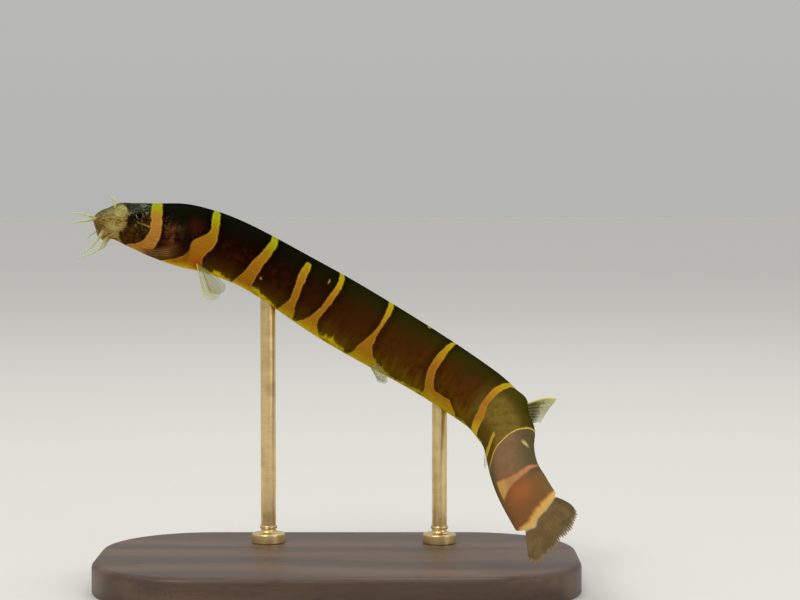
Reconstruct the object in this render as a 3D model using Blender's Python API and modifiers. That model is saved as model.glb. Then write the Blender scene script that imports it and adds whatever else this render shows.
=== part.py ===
"""A kuhli loach at life size, swimming with its tail swung round, on a plain display stand.

Sizes are in millimetres and are scaled to metres where a mesh is made. +X runs from head to tail,
+Z is up, and the fish shows its left flank towards -Y. The origin is the centre of the base's
underside.

A place on the fish is given by `along`, the distance from the tip of the snout down the middle of
the body, and `turn`, the angle round the body: 0 on the back, 90 degrees on the left flank, 180 on
the belly and 270 on the right flank.
"""

import math

import bmesh
import bpy
import numpy as np
from mathutils import Matrix, Vector

MM = 0.001
GAP = 0.3

# The stand.
BASE_SIZE = (62.0, 37.0, 4.0)
BASE_CORNER = 14.0
BASE_CORNER_STEPS = 6
BASE_EDGE = 0.8
BASE_EDGE_STEPS = 3
ROD_RADIUS = 1.0
ROD_FOOT_RADIUS = 2.2
ROD_FOOT_HEIGHT = 1.0
ROD_EDGE = 0.25
ROD_FILLET = 0.5
ROD_SIDES = 20
ROD_DEPTH_IN_BODY = 2.2
ROD_HOLE_REACH = 12.0
RODS = {"front": ("body_front", 24.0), "rear": ("body_middle", 50.5)}

# The pose: the tip of the snout, the slope of the head, and each bend of the body, as where it
# starts and ends and how many degrees it turns the tail down and towards -Y.
SNOUT_TIP = (-32.4, 9.0, 46.8)
HEAD_SLOPE = 8.0
BENDS = (
    ("neck", 6.0, 27.0, 23.0, 0.0),
    ("back", 42.0, 57.0, 2.5, 0.0),
    ("swing", 44.0, 68.0, 0.0, 61.0),
    ("drop", 56.5, 67.5, 51.5, 0.0),
    ("lift", 67.5, 83.0, -40.0, 0.0),
)
BODY_LENGTH = 83.0
TRACE_STEP = 0.05

# The body's shape: place along it, height above the middle line, depth below it, half width, and
# how far the section narrows to a crest above and below (1 is an ellipse).
STATIONS = (
    ("snout", 0.0, 1.2, 0.9, 0.9, 1.0),
    ("lip", 0.8, 1.4, 1.9, 1.2, 1.0),
    ("mouth", 1.5, 1.7, 2.2, 1.45, 1.0),
    ("nostril", 3.0, 2.6, 2.2, 1.95, 1.0),
    ("eye front", 5.0, 2.9, 2.9, 2.35, 1.0),
    ("cheek", 8.0, 3.3, 3.8, 2.85, 0.95),
    ("gill cover", 11.5, 3.9, 4.4, 3.15, 0.95),
    ("shoulder", 15.0, 4.0, 4.3, 3.25, 0.95),
    ("neck", 22.0, 3.9, 4.0, 3.3, 0.95),
    ("belly", 35.0, 4.3, 4.6, 3.5, 0.95),
    ("hip", 50.0, 4.2, 4.1, 3.3, 0.95),
    ("before dorsal fin", 58.0, 4.1, 3.9, 3.05, 1.0),
    ("dorsal fin", 63.0, 3.9, 3.7, 2.75, 1.05),
    ("anal fin", 68.0, 3.45, 2.9, 2.3, 1.1),
    ("tail root", 73.0, 3.35, 2.8, 1.9, 1.2),
    ("tail middle", 78.0, 3.5, 3.0, 1.5, 1.3),
    ("tail end", 83.0, 3.25, 3.5, 1.1, 1.4),
)
SNOUT_ROUNDING = 1.3
SMALLEST_REACH = 0.3

# Where the head and each length of the body ends, and how far apart their rings are.
HEAD_LENGTH = 14.3
BODY_ENDS = {"body_front": 35.0, "body_middle": 56.0, "body_rear": 70.0, "tail": BODY_LENGTH}
RING_SPACING = {"body_front": 1.5, "body_middle": 1.5, "body_rear": 0.9, "tail": 1.0}
HEAD_SIDES = 48
BODY_SIDES = 36
SNOUT_RING_TURNS = (12.0, 25.0, 38.0, 51.0, 64.0, 77.0, 90.0)
CHEEK_RINGS = 25
SLIT_RINGS = 7

# The gill cover: its rear edge is furthest back at one turn and bows forward above and below it.
GILL_EDGE = 13.3
GILL_EDGE_TURN = 108.0
GILL_EDGE_BOW = 0.9
GILL_EDGE_SPREAD = 45.0
GILL_TOP = (55.0, 80.0)
GILL_BOTTOM = (138.0, 162.0)
GILL_SWELL = (8.5, 12.6)
GILL_RISE = 0.4
GILL_SLIT_WIDTH = 0.35
GILL_SLIT_DEPTH = 0.25

# The face.
EYE_ALONG = 6.25
EYE_HEIGHT = 1.45
EYE_RADIUS = 0.62
EYE_DEPTH = 0.34
EYE_GAP = 0.2
EYE_SIDES = 18
NOSTRIL_ALONG = 3.7
NOSTRIL_TURN = 48.0
NOSTRIL_RADIUS = 0.3
NOSTRIL_SIDES = 10
MOUTH_FRONT = 1.2
MOUTH_CORNER = 2.5
MOUTH_HALF_TURN = 48.0
LIP_RADIUS = 0.42
LIP_TAPER = 0.35
LIP_SPACING = 0.6
LIP_CLOSING = 0.7
LIP_SUNK = 0.12
LIP_STEPS = 13

# The barbels: each has its root, as a place along and round the head, the root's radius, and a
# route of (forward, up, outward) places from the tip of the snout. A fleshy stub of the same route
# belongs to the head.
BARBEL_TIP_SHARE = 0.42
BARBEL_ROOT_SUNK = 0.5
BARBEL_STUB = 0.35
BARBEL_FLARE = 1.4
BARBEL_STEP = 0.5
BARBELS = {
    "barbel_rostral_left": (0.3, 78.0, 0.3, ((0.75, -0.12, 0.8), (1.6, -0.22, 1.1), (2.75, -0.5, 1.6))),
    "barbel_rostral_right": (0.3, 72.0, 0.3, ((0.75, 0.5, 0.8), (1.6, 0.78, 1.1), (3.0, 0.9, 1.7))),
    "barbel_lip_left": (1.5, 128.0, 0.32, ((-0.7, -2.65, 1.75), (0.1, -3.6, 2.0), (1.6, -4.5, 2.3))),
    "barbel_lip_right": (1.4, 124.0, 0.32, ((-0.45, -1.5, 1.75), (0.35, -1.85, 2.1), (1.25, -2.6, 2.4))),
    "barbel_jaw_left": (
        2.7, 142.0, 0.32, ((-1.5, -2.95, 1.85), (-0.95, -3.85, 2.1), (0.25, -4.5, 2.3), (1.6, -4.85, 2.5))
    ),
    "barbel_jaw_right": (2.7, 142.0, 0.32, ((-1.65, -2.75, 1.85), (-0.95, -3.75, 2.1), (0.75, -4.4, 2.5))),
    "barbel_nasal_left": (2.6, 30.0, 0.25, ((-2.6, 2.75, 1.15), (-2.42, 3.35, 1.25))),
    "barbel_nasal_right": (2.6, 30.0, 0.25, ((-2.6, 2.7, 1.2), (-2.38, 3.25, 1.35))),
}

# The fins. A ray's lean is its angle tailward of straight out. A paired fin's root runs between two
# (along, turn) places, and its first and last rays point (tailward, up, outward).
FIN_ROOT_THICKNESS = 0.6
FIN_RIM_THICKNESS = 0.3
FIN_THINNING_POWER = 3
RAY_HEIGHT = 0.12
RAY_START = 0.3
RAY_FADE = 0.6
MIDLINE_FINS = {
    "dorsal_fin": {
        "start": 62.0, "end": 64.3, "turn": 0.0, "leans": (25.0, 33.0),
        "lengths": (3.9, 3.6, 2.9, 2.0, 1.1), "rays": 8, "rows": 6,
    },
    "anal_fin": {
        "start": 66.8, "end": 69.8, "turn": 180.0, "leans": (85.0, 80.0),
        "lengths": (4.4, 4.2, 3.5, 2.4), "rays": 7, "rows": 5,
    },
}
PAIRED_FINS = {
    "pectoral_fin": {
        "start": (14.75, 141.0), "end": (16.3, 153.0), "first_ray": (0.5, -0.68, 0.5),
        "last_ray": (0.88, -0.3, 0.42), "lengths": (4.9, 5.5, 5.1, 4.3, 3.4), "rays": 10, "rows": 6,
    },
    "pelvic_fin": {
        "start": (41.8, 162.0), "end": (42.5, 140.0), "first_ray": (0.95, -0.32, 0.1),
        "last_ray": (0.95, -0.18, 0.3), "lengths": (2.6, 3.3, 3.2, 2.6), "rays": 6, "rows": 4,
    },
}
PAIRED_FIN_LIFT = 0.09
TAIL_FIN = {
    "reach": 7.7, "above": 4.0, "below": 4.8, "corner": 0.24, "corner_power": 6, "root_share": 0.97,
    "flesh": 0.45, "rays": 15, "rows": 8,
}

SKIN_BROWN = (0.045, 0.022, 0.014, 1.0)
HEAD_BROWN = (0.075, 0.045, 0.022, 1.0)
FIN_STRAW = (0.42, 0.36, 0.13, 1.0)
TAIL_FIN_GREY = (0.075, 0.055, 0.035, 1.0)
BARBEL_STRAW = (0.45, 0.45, 0.16, 1.0)
EYE_BLACK = (0.008, 0.008, 0.008, 1.0)
STAND_WALNUT = (0.085, 0.045, 0.025, 1.0)
STAND_BRASS = (0.70, 0.52, 0.24, 1.0)


def ease(value, start, end):
    """0 before start, 1 after end, and a smooth rise between them."""
    part = np.clip((np.asarray(value, float) - start) / (end - start), 0.0, 1.0)
    return part * part * (3.0 - 2.0 * part)


def trace_middle_line():
    """Step down the body's middle line, turning it at each bend."""
    along = np.arange(0.0, BODY_LENGTH + 1.0, TRACE_STEP)
    down = np.full_like(along, HEAD_SLOPE)
    swing = np.zeros_like(along)
    for _, start, end, turn_down, turn_aside in BENDS:
        down += turn_down * ease(along, start, end)
        swing += turn_aside * ease(along, start, end)
    down, swing = np.radians(down), np.radians(swing)
    tailward = np.stack([np.cos(swing) * np.cos(down), -np.sin(swing), -np.cos(swing) * np.sin(down)], 1)
    upward = np.stack([np.sin(down), np.zeros_like(along), np.cos(down)], 1)
    leftward = np.cross(tailward, upward)
    steps = (tailward[1:] + tailward[:-1]) / 2 * np.diff(along)[:, None]
    centre = np.array(SNOUT_TIP) + np.vstack([np.zeros(3), np.cumsum(steps, 0)])
    return {"along": along, "centre": centre, "tailward": tailward, "up": upward, "left": leftward}


LINE = trace_middle_line()


def on_line(name, along):
    """The named point or direction of the middle line, at each place along it."""
    return np.stack([np.interp(along, LINE["along"], LINE[name][:, axis]) for axis in range(3)], -1)


def station_value(column, along):
    """One column of STATIONS at each place along the body, on a smooth curve through its values."""
    places = np.array([row[1] for row in STATIONS])
    values = np.array([row[column] for row in STATIONS])
    slopes = np.gradient(values, places)
    along = np.clip(along, places[0], places[-1])
    index = np.clip(np.searchsorted(places, along) - 1, 0, len(places) - 2)
    width = places[index + 1] - places[index]
    part = (along - places[index]) / width
    square, cube = part ** 2, part ** 3
    return (
        values[index] * (2 * cube - 3 * square + 1)
        + values[index + 1] * (3 * square - 2 * cube)
        + slopes[index] * width * (cube - 2 * square + part)
        + slopes[index + 1] * width * (cube - square)
    )


def degrees_from_back(turn):
    """The angle round the body from the back, 0 to 180 degrees, alike on both flanks."""
    return np.degrees(np.abs((turn + math.pi) % (2 * math.pi) - math.pi))


def gill_bow(turn):
    """How far forward of GILL_EDGE the gill cover's edge lies at this turn."""
    side = np.clip(degrees_from_back(turn), GILL_TOP[0], GILL_BOTTOM[1])
    return GILL_EDGE_BOW * ((side - GILL_EDGE_TURN) / GILL_EDGE_SPREAD) ** 2


def gill_relief(along, turn):
    """The gill cover swells towards its rear edge and drops into the slit behind it."""
    side = degrees_from_back(turn)
    on_cover = ease(side, *GILL_TOP) * (1.0 - ease(side, *GILL_BOTTOM))
    past_edge = along - GILL_EDGE + gill_bow(turn)
    swell = ease(along, *GILL_SWELL) * (1.0 - ease(past_edge, 0.0, GILL_SLIT_WIDTH))
    slit = np.exp(-((past_edge / GILL_SLIT_WIDTH - 1.0) ** 2))
    return on_cover * (GILL_RISE * swell - GILL_SLIT_DEPTH * slit)


def skin_point(along, turn, lift=0.0):
    """The point of the skin at a place along the body and round it, in millimetres."""
    along, turn = np.broadcast_arrays(np.asarray(along, float), np.asarray(turn, float))
    above, below, half_width, crest = (station_value(column, along) for column in (2, 3, 4, 5))
    blunt = np.sqrt(1.0 - (1.0 - np.clip(along / SNOUT_ROUNDING, 0.0, 1.0)) ** 2)
    height = np.cos(turn) * np.where(np.cos(turn) > 0, above, below) * blunt
    width = np.sign(np.sin(turn)) * np.abs(np.sin(turn)) ** crest * half_width * blunt
    reach = np.maximum(np.hypot(height, width), SMALLEST_REACH)
    grow = 1.0 + (lift + gill_relief(along, turn)) / reach
    return (
        on_line("centre", along)
        + on_line("up", along) * (height * grow)[..., None]
        + on_line("left", along) * (width * grow)[..., None]
    )


def make_material(name, colour, roughness, metallic=0.0):
    material = bpy.data.materials.new(name)
    material.use_nodes = True
    shader = material.node_tree.nodes["Principled BSDF"]
    shader.inputs["Base Color"].default_value = colour
    shader.inputs["Roughness"].default_value = roughness
    shader.inputs["Metallic"].default_value = metallic
    material.diffuse_color = colour
    return material


def collect(name):
    collection = bpy.data.collections.new(name)
    bpy.context.scene.collection.children.link(collection)
    return collection


def place_in(obj, collection):
    """Move an object from whatever collections hold it into this one."""
    for holder in list(obj.users_collection):
        holder.objects.unlink(obj)
    collection.objects.link(obj)


def mesh_object(name, points, faces, root, collection):
    """An object with its origin at root, from points in millimetres and lists of point numbers."""
    root = np.asarray(root, float)
    mesh = bpy.data.meshes.new(name)
    mesh.from_pydata(((np.asarray(points) - root) * MM).tolist(), [], faces)
    work = bmesh.new()
    work.from_mesh(mesh)
    bmesh.ops.recalc_face_normals(work, faces=work.faces)
    work.to_mesh(mesh)
    work.free()
    obj = bpy.data.objects.new(name, mesh)
    obj.location = root * MM
    collection.objects.link(obj)
    bpy.context.view_layer.update()
    return obj


def finish(obj, parent, material):
    """Give a finished piece its material, its smooth shading and its parent."""
    obj.data.materials.clear()
    obj.data.materials.append(material)
    obj.parent = parent
    if obj.type == "MESH":
        obj.data.shade_smooth()
        obj.data.set_sharp_from_angle(angle=math.radians(40))


def apply_modifiers(obj):
    """Replace an object's mesh by what its modifiers make of it."""
    bpy.context.view_layer.update()
    evaluated = obj.evaluated_get(bpy.context.evaluated_depsgraph_get())
    mesh = bpy.data.meshes.new_from_object(evaluated)
    old_mesh = obj.data
    obj.modifiers.clear()
    obj.data = mesh
    bpy.data.meshes.remove(old_mesh)


def combine(obj, others, operation, cutters):
    """Join the others to obj, or cut them from it, in one Boolean, and remove them."""
    collection = bpy.data.collections.new(obj.name + "_" + operation.lower())
    cutters.children.link(collection)
    modifier = obj.modifiers.new(operation.lower(), "BOOLEAN")
    modifier.operation = operation
    modifier.solver = "EXACT"
    modifier.operand_type = "COLLECTION"
    modifier.collection = collection
    for other in others:
        place_in(other, collection)
        other.hide_render = True
        other.display_type = "WIRE"
    apply_modifiers(obj)
    for other in others:
        bpy.data.objects.remove(other)
    keep_largest(obj)


def keep_largest(obj):
    """Keep only the largest closed surface of a mesh."""
    work = bmesh.new()
    work.from_mesh(obj.data)
    unseen = set(work.verts)
    islands = []
    while unseen:
        island, edge = set(), [unseen.pop()]
        while edge:
            vert = edge.pop()
            island.add(vert)
            near = {link.other_vert(vert) for link in vert.link_edges} & unseen
            unseen -= near
            edge.extend(near)
        islands.append(island)
    islands.sort(key=len)
    loose = [vert for island in islands[:-1] for vert in island]
    bmesh.ops.delete(work, geom=loose, context="VERTS")
    work.to_mesh(obj.data)
    work.free()


def loft(name, rings, root_along, collection, closed_front=False):
    """Rings round the body, closed at both ends. rings holds each ring's place along, side by side."""
    count, sides = rings.shape
    turns = np.arange(sides) * 2 * math.pi / sides
    points = skin_point(rings, turns[None, :]).reshape(-1, 3)
    faces = []
    for ring in range(count - 1):
        for side in range(sides):
            after = (side + 1) % sides
            low, high = ring * sides, (ring + 1) * sides
            faces.append((low + side, low + after, high + after))
            faces.append((low + side, high + after, high + side))
    last = (count - 1) * sides
    faces.append(tuple(range(last, last + sides)))
    if closed_front:
        points = np.vstack([points, on_line("centre", np.array([0.0]))])
        tip = len(points) - 1
        faces.extend((tip, (side + 1) % sides, side) for side in range(sides))
    else:
        faces.append(tuple(range(sides))[::-1])
    return mesh_object(name, points, faces, on_line("centre", root_along), collection)


def head_rings():
    """The head's rings. Those by the gill cover bow forward with its edge, so that it stays crisp."""
    rear = HEAD_LENGTH - GAP / 2
    snout = SNOUT_ROUNDING * (1.0 - np.cos(np.radians(SNOUT_RING_TURNS)))
    cheeks = np.linspace(SNOUT_ROUNDING, GILL_EDGE, CHEEK_RINGS, endpoint=False)[1:]
    slit = np.linspace(GILL_EDGE, GILL_EDGE + 2 * GILL_SLIT_WIDTH, SLIT_RINGS)
    places = np.concatenate([snout, cheeks, slit, [rear]])
    share = ease(places, *GILL_SWELL) * (1.0 - ease(places, slit[-1] - GILL_SLIT_WIDTH / 2, rear))
    turns = np.arange(HEAD_SIDES) * 2 * math.pi / HEAD_SIDES
    return places[:, None] - share[:, None] * gill_bow(turns)[None, :]


def tube(name, route, radii, root, collection):
    """A round tapered rod along a route, as a curve with filled caps."""
    root = np.asarray(root, float)
    curve = bpy.data.curves.new(name, "CURVE")
    curve.dimensions = "3D"
    curve.bevel_depth = MM
    curve.bevel_resolution = 3
    curve.use_fill_caps = True
    spline = curve.splines.new("POLY")
    spline.points.add(len(route) - 1)
    for point, place, radius in zip(spline.points, (np.asarray(route) - root) * MM, radii):
        point.co = (*place, 1.0)
        point.radius = radius
    obj = bpy.data.objects.new(name, curve)
    obj.location = root * MM
    collection.objects.link(obj)
    bpy.context.view_layer.update()
    return obj


def tube_to_mesh(obj, collection):
    """The same tube as a closed mesh, so that it can be joined or cut."""
    evaluated = obj.evaluated_get(bpy.context.evaluated_depsgraph_get())
    mesh = bpy.data.meshes.new_from_object(evaluated)
    work = bmesh.new()
    work.from_mesh(mesh)
    bmesh.ops.remove_doubles(work, verts=work.verts, dist=0.00001)
    bmesh.ops.recalc_face_normals(work, faces=work.faces)
    work.to_mesh(mesh)
    work.free()
    solid = bpy.data.objects.new(obj.name + "_mesh", mesh)
    solid.matrix_world = obj.matrix_world
    collection.objects.link(solid)
    bpy.data.objects.remove(obj)
    return solid


def ball(name, centre, radius, segments, collection):
    """A closed sphere, centred in millimetres."""
    mesh = bpy.data.meshes.new(name)
    work = bmesh.new()
    bmesh.ops.create_uvsphere(work, u_segments=segments, v_segments=segments // 2, radius=radius * MM)
    work.to_mesh(mesh)
    work.free()
    obj = bpy.data.objects.new(name, mesh)
    obj.location = Vector(centre) * MM
    collection.objects.link(obj)
    return obj


def smooth_route(points, count):
    """A Catmull-Rom curve through the points, read at an even count of places."""
    points = np.asarray(points, float)
    ends = np.vstack([2 * points[0] - points[1], points, 2 * points[-1] - points[-2]])
    at = np.linspace(0, len(points) - 1, count)
    index = np.minimum(at.astype(int), len(points) - 2)
    part = (at - index)[:, None]
    before, start, end, after = (ends[index + shift] for shift in range(4))
    return 0.5 * (
        2 * start
        + (end - before) * part
        + (2 * before - 5 * start + 4 * end - after) * part ** 2
        + (3 * start - before - 3 * end + after) * part ** 3
    )


def lip_route(offset):
    """A route round the mouth, from the left corner past the front to the right corner."""
    part = np.linspace(-1.0, 1.0, LIP_STEPS)
    along = MOUTH_FRONT + (MOUTH_CORNER - MOUTH_FRONT) * part ** 2
    along += offset * (1.0 - LIP_CLOSING * part ** 2)
    turn = math.pi + np.radians(MOUTH_HALF_TURN) * part
    return skin_point(along, turn, lift=-LIP_SUNK)


def build_lips(cutters):
    """The two lips, thick in front and thin at the corners of the mouth."""
    lips = []
    for label, offset in (("upper", -LIP_SPACING / 2), ("lower", LIP_SPACING / 2)):
        route = lip_route(offset)
        radii = LIP_RADIUS * (1.0 - LIP_TAPER * np.linspace(-1.0, 1.0, LIP_STEPS) ** 2)
        lip = tube(label + "_lip", route, radii, route[0], cutters)
        lips.append(tube_to_mesh(lip, cutters))
    return lips


def build_stubs(cutters):
    """The fleshy root of each barbel, flared where it leaves the head."""
    stubs = []
    for name in BARBELS:
        route, _ = barbel_route(name)
        radii = BARBELS[name][2] * np.linspace(BARBEL_FLARE, 1.0, len(route))
        stub = tube(name + "_stub", route, radii, route[0], cutters)
        stubs.append(tube_to_mesh(stub, cutters))
    return stubs


def eye_centre(side):
    """The middle of an eyeball: side is 1 on the left and -1 on the right."""
    above, half_width = (float(station_value(column, np.array(EYE_ALONG))) for column in (2, 4))
    flank = half_width * math.sqrt(1.0 - (EYE_HEIGHT / above) ** 2)
    return (
        on_line("centre", EYE_ALONG)
        + on_line("up", EYE_ALONG) * EYE_HEIGHT
        + on_line("left", EYE_ALONG) * side * (flank - EYE_DEPTH)
    )


def build_head(parts, cutters):
    """The head with its lips, eye sockets, nostrils and gill covers."""
    head = loft("head", head_rings(), 0.0, parts, closed_front=True)
    combine(head, build_lips(cutters) + build_stubs(cutters), "UNION", cutters)
    hollows = []
    for side, label in ((1, "left"), (-1, "right")):
        hollows.append(ball("socket_" + label, eye_centre(side), EYE_RADIUS + EYE_GAP, EYE_SIDES, cutters))
        pit = skin_point(NOSTRIL_ALONG, side * math.radians(NOSTRIL_TURN))
        hollows.append(ball("nostril_" + label, pit, NOSTRIL_RADIUS, NOSTRIL_SIDES, cutters))
    combine(head, hollows, "DIFFERENCE", cutters)
    return head


def build_body(parts, cutters):
    """The lengths of the body and tail, with a socket in the belly for each rod."""
    lengths = {}
    start = HEAD_LENGTH
    for name, end in BODY_ENDS.items():
        rear = end if end == BODY_LENGTH else end - GAP / 2
        count = int(round((end - start) / RING_SPACING[name])) + 1
        places = np.linspace(start + GAP / 2, rear, count)
        rings = np.repeat(places[:, None], BODY_SIDES, axis=1)
        lengths[name] = loft(name, rings, start, parts)
        start = end
    for name, place in RODS.values():
        x, y, middle = on_line("centre", place)
        bottom = middle - ROD_HOLE_REACH
        top = middle - rod_drop(place) + ROD_DEPTH_IN_BODY + GAP
        hole = cylinder("rod_hole", (x, y), bottom, top, ROD_RADIUS + GAP, cutters)
        combine(lengths[name], [hole], "DIFFERENCE", cutters)
    return lengths


def rod_drop(place):
    """How far straight below the middle line the belly lies over a rod."""
    slope = math.atan2(-on_line("tailward", place)[2], on_line("tailward", place)[0])
    return float(station_value(3, np.array(place))) / math.cos(slope)


def cylinder(name, centre, bottom, top, radius, collection):
    """An upright cylinder between two heights."""
    mesh = bpy.data.meshes.new(name)
    work = bmesh.new()
    bmesh.ops.create_cone(
        work, cap_ends=True, segments=ROD_SIDES, radius1=radius * MM, radius2=radius * MM,
        depth=(top - bottom) * MM,
    )
    work.to_mesh(mesh)
    work.free()
    obj = bpy.data.objects.new(name, mesh)
    obj.location = Vector((*centre, (bottom + top) / 2)) * MM
    collection.objects.link(obj)
    return obj


def build_eyes(parts):
    """Each eyeball sits in its socket and looks out to the side."""
    eyes = {}
    for side, label in ((1, "left"), (-1, "right")):
        name = "eye_" + label
        eyes[name] = ball(name, eye_centre(side), EYE_RADIUS, EYE_SIDES, parts)
        eyes[name].rotation_euler = (math.radians(90.0), 0.0, 0.0)
    return eyes


def barbel_route(name):
    """A barbel's route in two stretches with the gap between: the stub on the head, and the rest."""
    side = 1.0 if name.endswith("left") else -1.0
    along, turn, _, steps = BARBELS[name]
    turn = side * math.radians(turn)
    sunk, root = skin_point(along, turn, lift=-BARBEL_ROOT_SUNK), skin_point(along, turn)
    places = [sunk, root]
    places += [np.array(SNOUT_TIP) + (-forward, -side * outward, up) for forward, up, outward in steps]
    route = smooth_route(places, 200)
    arc = np.concatenate([[0.0], np.cumsum(np.linalg.norm(np.diff(route, axis=0), axis=1))])
    leaves = BARBEL_ROOT_SUNK + BARBEL_STUB
    starts = leaves + GAP
    rest = max(4, int(round((arc[-1] - starts) / BARBEL_STEP)))

    def read(start, end, count):
        at = np.linspace(start, end, count)
        return np.stack([np.interp(at, arc, route[:, axis]) for axis in range(3)], 1)

    return read(0.0, leaves, 4), read(starts, arc[-1], rest)


def build_barbels(parts):
    """The feelers round the mouth and at the nostrils, thick at the root and fine at the tip."""
    barbels = {}
    for name in BARBELS:
        _, route = barbel_route(name)
        radii = BARBELS[name][2] * np.linspace(1.0, BARBEL_TIP_SHARE, len(route))
        barbels[name] = tube(name, route, radii, route[0], parts)
    return barbels


def fin(name, roots, tips, outward, sizes, collection, root_thickness=None):
    """A membrane between a root line and a rim, with a ridge along each ray on both faces.

    roots, tips and outward are functions of the part of the way across the fin, from 0 to 1.
    """
    columns, rows = 2 * sizes["rays"] - 1, sizes["rows"]
    across = np.linspace(0.0, 1.0, columns)
    down = np.linspace(0.0, 1.0, rows)
    root, tip, normal = roots(across), tips(across), outward(across)
    middle = root[:, None] + (tip - root)[:, None] * down[None, :, None]
    thinning = (FIN_ROOT_THICKNESS - FIN_RIM_THICKNESS) * down ** FIN_THINNING_POWER
    membrane = np.tile(FIN_ROOT_THICKNESS - thinning, (columns, 1))
    if root_thickness is not None:
        flesh = root_thickness(across) - FIN_ROOT_THICKNESS
        membrane = membrane + flesh[:, None] * (1.0 - ease(down, 0.0, sizes["flesh"]))[None, :]
    ridge = np.where(np.arange(columns) % 2 == 0, RAY_HEIGHT, 0.0)
    ridge = ridge[:, None] * (ease(down, 0.0, RAY_START) * (1.0 - RAY_FADE * down))[None, :]
    half = (membrane / 2 + ridge)[..., None] * normal[:, None]
    points = np.stack([middle + half, middle - half])
    number = np.arange(2 * columns * rows).reshape(2, columns, rows)
    faces = []
    for face in (0, 1):
        for column in range(columns - 1):
            for row in range(rows - 1):
                a, b = number[face, column, row], number[face, column + 1, row]
                c, d = number[face, column + 1, row + 1], number[face, column, row + 1]
                faces += [(a, b, c), (a, c, d)]
    rim = [(column, 0) for column in range(columns)]
    rim += [(columns - 1, row) for row in range(1, rows)]
    rim += [(column, rows - 1) for column in range(columns - 2, -1, -1)]
    rim += [(0, row) for row in range(rows - 2, 0, -1)]
    for here, there in zip(rim, rim[1:] + rim[:1]):
        a, b = number[(0, *here)], number[(0, *there)]
        c, d = number[(1, *there)], number[(1, *here)]
        faces += [(a, b, c), (a, c, d)]
    faces = [tuple(int(index) for index in face) for face in faces]
    return mesh_object(name, points.reshape(-1, 3), faces, root[0], collection)


def spread_over(values, across):
    """Values given evenly over a fin, read at each part of the way across it."""
    return np.interp(across, np.linspace(0.0, 1.0, len(values)), values)


def body_direction(along, tailward, up, left):
    """A unit direction given by its parts along the body's own directions."""
    direction = on_line("tailward", along) * tailward
    direction = direction + on_line("up", along) * up + on_line("left", along) * left
    return direction / np.linalg.norm(direction)


def midline_fin(name, sizes, collection):
    """A fin on the back or belly: each ray leans tailward by an angle and has a length."""
    turn = math.radians(sizes["turn"])

    def place(across):
        return spread_over((sizes["start"], sizes["end"]), across)

    def roots(across):
        return skin_point(place(across), np.full_like(across, turn), lift=GAP)

    def tips(across):
        lean = np.radians(spread_over(sizes["leans"], across))
        length = spread_over(sizes["lengths"], across)
        rise = (length * np.cos(lean) * math.cos(turn))[:, None]
        run = (length * np.sin(lean))[:, None]
        at = place(across)
        return roots(across) + on_line("up", at) * rise + on_line("tailward", at) * run

    def outward(across):
        return on_line("left", place(across))

    return fin(name, roots, tips, outward, sizes, collection)


def paired_fin(name, side, sizes, collection):
    """A fin on one flank: side is 1 on the left and -1 on the right."""
    start, end = sizes["start"], sizes["end"]
    first, last = (
        body_direction(start[0], tailward, up, side * out)
        for tailward, up, out in (sizes["first_ray"], sizes["last_ray"])
    )

    def roots(across):
        along = spread_over((start[0], end[0]), across)
        turn = side * np.radians(spread_over((start[1], end[1]), across))
        return skin_point(along, turn, lift=GAP + PAIRED_FIN_LIFT)

    def directions(across):
        mixed = first + (last - first) * across[:, None]
        return mixed / np.linalg.norm(mixed, axis=1, keepdims=True)

    def tips(across):
        return roots(across) + directions(across) * spread_over(sizes["lengths"], across)[:, None]

    def outward(across):
        spread = tips(across)[-1] - tips(across)[0]
        normal = np.cross(spread, directions(np.array([0.5]))[0])
        normal /= np.linalg.norm(normal)
        return np.broadcast_to(normal, (len(across), 3))

    return fin(name, roots, tips, outward, sizes, collection)


def tail_fin(collection):
    """The tail fin: a blunt fan from the tail's end, with rounded corners."""
    place = BODY_LENGTH
    above, below, half_width, crest = (
        float(station_value(column, np.array(place))) for column in (2, 3, 4, 5)
    )
    root_above, root_below = above * TAIL_FIN["root_share"], below * TAIL_FIN["root_share"]

    def at(tailward, height):
        tail, up = on_line("tailward", place), on_line("up", place)
        return on_line("centre", place) + tail * GAP + tailward[:, None] * tail + height[:, None] * up

    def roots(across):
        return at(np.zeros_like(across), spread_over((root_above, -root_below), across))

    def tips(across):
        rounding = TAIL_FIN["corner"] * np.abs(2 * across - 1) ** TAIL_FIN["corner_power"]
        height = spread_over((TAIL_FIN["above"], -TAIL_FIN["below"]), across)
        return at(TAIL_FIN["reach"] * (1.0 - rounding), height)

    def outward(across):
        return np.broadcast_to(on_line("left", place), (len(across), 3))

    def thickness(across):
        height = np.abs(1.0 - 2.0 * across)
        return np.maximum(2 * half_width * (1.0 - height ** 2) ** (crest / 2), FIN_ROOT_THICKNESS)

    return fin("caudal_fin", roots, tips, outward, TAIL_FIN, collection, root_thickness=thickness)


def build_fins(parts):
    """Every fin, held clear of the body by the gap."""
    fins = {name: midline_fin(name, sizes, parts) for name, sizes in MIDLINE_FINS.items()}
    fins["caudal_fin"] = tail_fin(parts)
    for kind, sizes in PAIRED_FINS.items():
        for side, label in ((1, "left"), (-1, "right")):
            name = kind + "_" + label
            fins[name] = paired_fin(name, side, sizes, parts)
    return fins


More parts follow.
